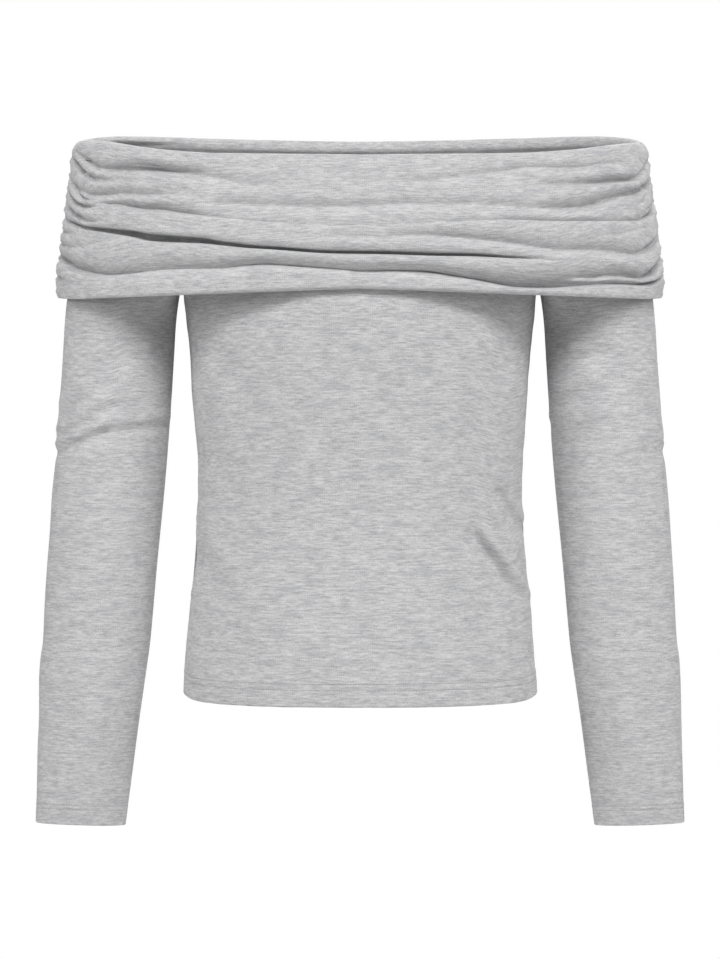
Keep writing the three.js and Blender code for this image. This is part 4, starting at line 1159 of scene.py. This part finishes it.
def melange(name, shift):
    """A jersey whose pattern starts at its own place in the noise."""
    material = bpy.data.materials.new(name)
    material.use_nodes = True
    tree = material.node_tree
    place = node(tree, "ShaderNodeUVMap", "UV", {"uv_map": "cloth"})
    split = tree.nodes.new("ShaderNodeSeparateXYZ")
    plug(tree, split.inputs[0], place)
    across = Number(tree, split.outputs["X"]) * 1000
    down = Number(tree, split.outputs["Y"]) * 1000
    layers = {}
    for layer, row in LAYERS.items():
        layers[layer] = noise(tree, across, down, row["width"], row["height"], row["detail"],
                              shift + row["shift"])
    wales = (across * (2 * math.pi / WALE_PITCH)).math("SINE")
    dark = wales * WALE_SHARE + MIDDLE_SHADE
    for layer, row in LAYERS.items():
        dark = dark + (layers[layer] - 0.5) * row["share"]
    dark = dark.math("MAXIMUM", 0.0).math("MINIMUM", 1.0)
    blue = ((layers["patches"] - 0.5) * TINT_GAIN - 0.1).math("MAXIMUM", 0.0).math("MINIMUM", 1.0)
    grey = tree.nodes.new("ShaderNodeMix")
    grey.data_type = "RGBA"
    plug(tree, grey.inputs[0], dark)
    grey.inputs[6].default_value = LIGHT_GREY
    grey.inputs[7].default_value = DARK_GREY
    tinted = tree.nodes.new("ShaderNodeMix")
    tinted.data_type = "RGBA"
    plug(tree, tinted.inputs[0], blue * TINT_MOST)
    plug(tree, tinted.inputs[6], Number(tree, grey.outputs[2]))
    tinted.inputs[7].default_value = BLUISH
    height = wales * RELIEF["wales"] + layers["fibres"] * RELIEF["fibres"]
    height = height + layers["flecks"] * RELIEF["flecks"]
    bump = node(tree, "ShaderNodeBump", "Normal", Height=height, Distance=0.001, Strength=BUMP_STRENGTH)
    cloth = tree.nodes["Principled BSDF"]
    plug(tree, cloth.inputs["Base Color"], Number(tree, tinted.outputs[2]))
    plug(tree, cloth.inputs["Roughness"], 0.86 + (layers["fibres"] - 0.5) * 0.2)
    plug(tree, cloth.inputs["Normal"], bump)
    cloth.inputs["Sheen Weight"].default_value = 0.12
    cloth.inputs["Sheen Roughness"].default_value = 0.6
    cloth.inputs["Specular IOR Level"].default_value = 0.25
    return material


body_jersey = melange("grey_melange_jersey", 3)
band_jersey = melange("grey_melange_band_jersey", 40)
for piece in (body_front, body_back, sleeve_left, sleeve_right):
    piece.data.materials.append(body_jersey)
for piece in (band_front, band_back):
    piece.data.materials.append(band_jersey)
print("two jerseys")

# %% [markdown]
# The hem and the cuffs are sewn with a twin needle, which leaves two rows of short stitches side by
# side. Each row is the same stitch repeated along a line, so Geometry Nodes place it: the line is cut
# into equal steps, and a small rounded thread lies at each step, turned along the line. The thread is a
# little darker than the cloth and half sunk in it.

# %% Lines of sewing
HEM_STITCH = {"Pitch": 2.4, "Length": 1.75, "Width": 0.55}
CUFF_STITCH = {"Pitch": 2.3, "Length": 1.65, "Width": 0.5}


def line_at(name, above):
    """The points of a piece's outside at one height above its lower edge."""
    grid, edge = outsides[name]
    rows = []
    for points, low in zip(grid, edge):
        heights = -points[:, 2]
        rows.append([np.interp(-(low + above), heights, points[:, k]) for k in range(3)])
    return np.array(rows)


def sewing_lines(name, loops):
    """An object of closed lines, one for each row of sewing."""
    points, edges = [], []
    for loop in loops:
        first = len(points)
        points += (loop * MM).tolist()
        edges += [(first + k, first + (k + 1) % len(loop)) for k in range(len(loop))]
    mesh = bpy.data.meshes.new(name)
    mesh.from_pydata(points, edges, [])
    made = bpy.data.objects.new(name, mesh)
    bpy.context.scene.collection.objects.link(made)
    return made


hem_lines = [np.concatenate([line_at("body_front_cloth", h), line_at("body_back_cloth", h)[::-1]])
             for h in HEM_STITCH_ROWS]
sleeves = ("sleeve_left_cloth", "sleeve_right_cloth")
cuff_lines = [line_at(name, height) for name in sleeves for height in CUFF_STITCH_ROWS]
print(len(hem_lines), "hem lines and", len(cuff_lines), "cuff lines")

# %% Stitch tree
stitch_tree = bpy.data.node_groups.new("stitch_row", "GeometryNodeTree")
STITCH_SOCKETS = {"Lines": "Geometry", "Pitch": "Float", "Length": "Float", "Width": "Float",
                  "Unevenness": "Float", "Seed": "Int", "Thread": "Material"}
sockets = {}
interface = stitch_tree.interface
for label, kind in STITCH_SOCKETS.items():
    socket_type = "NodeSocket" + kind
    sockets[label] = interface.new_socket(name=label, in_out="INPUT", socket_type=socket_type)
interface.new_socket(name="Stitches", in_out="OUTPUT", socket_type="NodeSocketGeometry")
given = stitch_tree.nodes.new("NodeGroupInput")
result = stitch_tree.nodes.new("NodeGroupOutput")
asked = {label: Number(stitch_tree, given.outputs[label]) for label in STITCH_SOCKETS}
curve = node(stitch_tree, "GeometryNodeMeshToCurve", "Curve", Mesh=asked["Lines"])
steps = node(stitch_tree, "GeometryNodeResampleCurve", "Curve", {"mode": "LENGTH"}, Curve=curve,
             Length=asked["Pitch"])
thread = node(stitch_tree, "GeometryNodeMeshUVSphere", "Mesh", Segments=8, Rings=6, Radius=0.5)
heading = node(stitch_tree, "GeometryNodeInputTangent", "Tangent")
turned_along = node(stitch_tree, "FunctionNodeAlignRotationToVector", "Rotation", {"axis": "X"},
                    Vector=heading)
chance = stitch_tree.nodes.new("FunctionNodeRandomValue")
chance.data_type = "FLOAT"
chance.inputs[2].default_value = -1
chance.inputs[3].default_value = 1
plug(stitch_tree, chance.inputs["Seed"], asked["Seed"])
uneven = Number(stitch_tree, chance.outputs[1]) * asked["Unevenness"] + 1
size = node(stitch_tree, "ShaderNodeCombineXYZ", "Vector", X=asked["Length"] * uneven, Y=asked["Width"],
            Z=asked["Width"])
placed = node(stitch_tree, "GeometryNodeInstanceOnPoints", "Instances", Points=steps, Instance=thread,
              Rotation=turned_along, Scale=size)
real = node(stitch_tree, "GeometryNodeRealizeInstances", "Geometry", Geometry=placed)
soft = node(stitch_tree, "GeometryNodeSetShadeSmooth", "Geometry", Geometry=real)
finished = node(stitch_tree, "GeometryNodeSetMaterial", "Geometry", Geometry=soft,
                Material=asked["Thread"])
plug(stitch_tree, result.inputs["Stitches"], finished)
print(len(stitch_tree.nodes), "nodes in the stitch tree")

# %% Sew the hem and the cuffs
THREAD_SHADE = 0.19
PLY_SHARE = 0.14
PLY_SCALE = 2500.0
UNEVENNESS = 0.12

thread_grey = bpy.data.materials.new("grey_thread")
thread_grey.use_nodes = True
thread_tree = thread_grey.node_tree
spot = node(thread_tree, "ShaderNodeTexCoord", "Object")
ply = node(thread_tree, "ShaderNodeTexNoise", 0, Vector=spot, Scale=PLY_SCALE, Detail=1.0)
shade = ply * PLY_SHARE + THREAD_SHADE
twist = thread_tree.nodes["Principled BSDF"]
colour = node(thread_tree, "ShaderNodeCombineColor", "Color", Red=shade, Green=shade, Blue=shade * 1.03)
plug(thread_tree, twist.inputs["Base Color"], colour)
twist.inputs["Roughness"].default_value = 0.6


def sew(name, loops, sizes, seed):
    """Turns lines of sewing into a plain mesh of stitches."""
    lines = sewing_lines(name + "_lines", loops)
    modifier = lines.modifiers.new("stitches", "NODES")
    modifier.node_group = stitch_tree
    for label, value in sizes.items():
        modifier[sockets[label].identifier] = value * MM
    modifier[sockets["Unevenness"].identifier] = UNEVENNESS
    modifier[sockets["Seed"].identifier] = seed
    modifier[sockets["Thread"].identifier] = thread_grey
    graph = bpy.context.evaluated_depsgraph_get()
    mesh = bpy.data.meshes.new_from_object(lines.evaluated_get(graph))
    bpy.data.objects.remove(lines)
    made = bpy.data.objects.new(name, mesh)
    bpy.context.scene.collection.objects.link(made)
    report(made)
    return made


hem_stitches = sew("hem_stitches", hem_lines, HEM_STITCH, 3)
cuff_stitches = sew("cuff_stitches", cuff_lines, CUFF_STITCH, 8)

# %% [markdown]
# The floor is a plain pale disc well below the top, which hangs in the air. Towards its rim the floor
# glows with a painted light of its own, standing in for a brightly lit studio floor, so that it goes
# over into the white background from every side.

# %% Floor
FLOOR_HEIGHT = -1.9
FLOOR_RADIUS = 3.0
FLOOR_SIDES = 96
GLOW_FROM = 1.7
GLOW_FULL = 2.9
PALE = (0.9, 0.9, 0.9, 1)

floor_mesh = bpy.data.meshes.new("floor")
rim_turns = [2 * math.pi * i / FLOOR_SIDES for i in range(FLOOR_SIDES)]
rim = [(FLOOR_RADIUS * math.cos(a), FLOOR_RADIUS * math.sin(a), FLOOR_HEIGHT) for a in rim_turns]
floor_mesh.from_pydata(rim, [], [tuple(range(FLOOR_SIDES))])
floor = bpy.data.objects.new("floor", floor_mesh)
bpy.context.scene.collection.objects.link(floor)
pale = bpy.data.materials.new("pale_floor")
pale.use_nodes = True
paint = pale.node_tree.nodes["Principled BSDF"]
paint.inputs["Base Color"].default_value = PALE
paint.inputs["Roughness"].default_value = 0.9
floor_tree = pale.node_tree
spot = node(floor_tree, "ShaderNodeTexCoord", "Object")
out_x = node(floor_tree, "ShaderNodeSeparateXYZ", "X", Vector=spot)
out_y = node(floor_tree, "ShaderNodeSeparateXYZ", "Y", Vector=spot)
away = (out_x * out_x + out_y * out_y).math("SQRT")
# Painted light: the floor's emission grows from nothing to full towards its rim.
glow = ((away - GLOW_FROM) / (GLOW_FULL - GLOW_FROM)).math("MINIMUM", 1.0).math("MAXIMUM", 0.0)
light = node(floor_tree, "ShaderNodeCombineXYZ", "Vector", X=glow, Y=glow, Z=glow)
plug(floor_tree, paint.inputs["Emission Color"], light)
paint.inputs["Emission Strength"].default_value = 1.0
floor_mesh.materials.append(pale)
print("floor at", FLOOR_HEIGHT, "m")

# %% [markdown]
# Each piece of cloth rides on the part's one body and stands for its solid, which is hidden. The table
# also gives the flat size that each piece was cut to, which nothing below uses. The stitches go with
# the hem and the cuffs that they hold.

# %% Join the cloth to the part
SHEETS = [
    {"piece": body_front, "node": "body_front", "slot": "jersey", "flat": (0.45, 0.47), "held": "hung",
     "rests_on": ["band_front", "band_back"], "sewing": [hem_stitches]},
    {"piece": body_back, "node": "body_back", "slot": "jersey", "flat": (0.45, 0.47), "held": "hung",
     "rests_on": ["band_front", "band_back"]},
    {"piece": sleeve_left, "node": "sleeve_left", "slot": "jersey", "flat": (0.31, 0.59), "held": "hung",
     "rests_on": ["band_front", "band_back"], "sewing": [cuff_stitches]},
    {"piece": sleeve_right, "node": "sleeve_right", "slot": "jersey", "flat": (0.31, 0.59),
     "held": "hung", "rests_on": ["band_front", "band_back"]},
    {"piece": band_front, "node": "band_front", "slot": "band_jersey", "flat": (0.61, 0.16),
     "held": "gathered", "rests_on": ["band_back"]},
    {"piece": band_back, "node": "band_back", "slot": "band_jersey", "flat": (0.61, 0.16),
     "held": "gathered", "rests_on": ["band_front"]},
]
for piece in (hem_stitches, cuff_stitches):
    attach(piece, "root")
for row in SHEETS:
    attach(row["piece"], "root")
    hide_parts(row["node"])
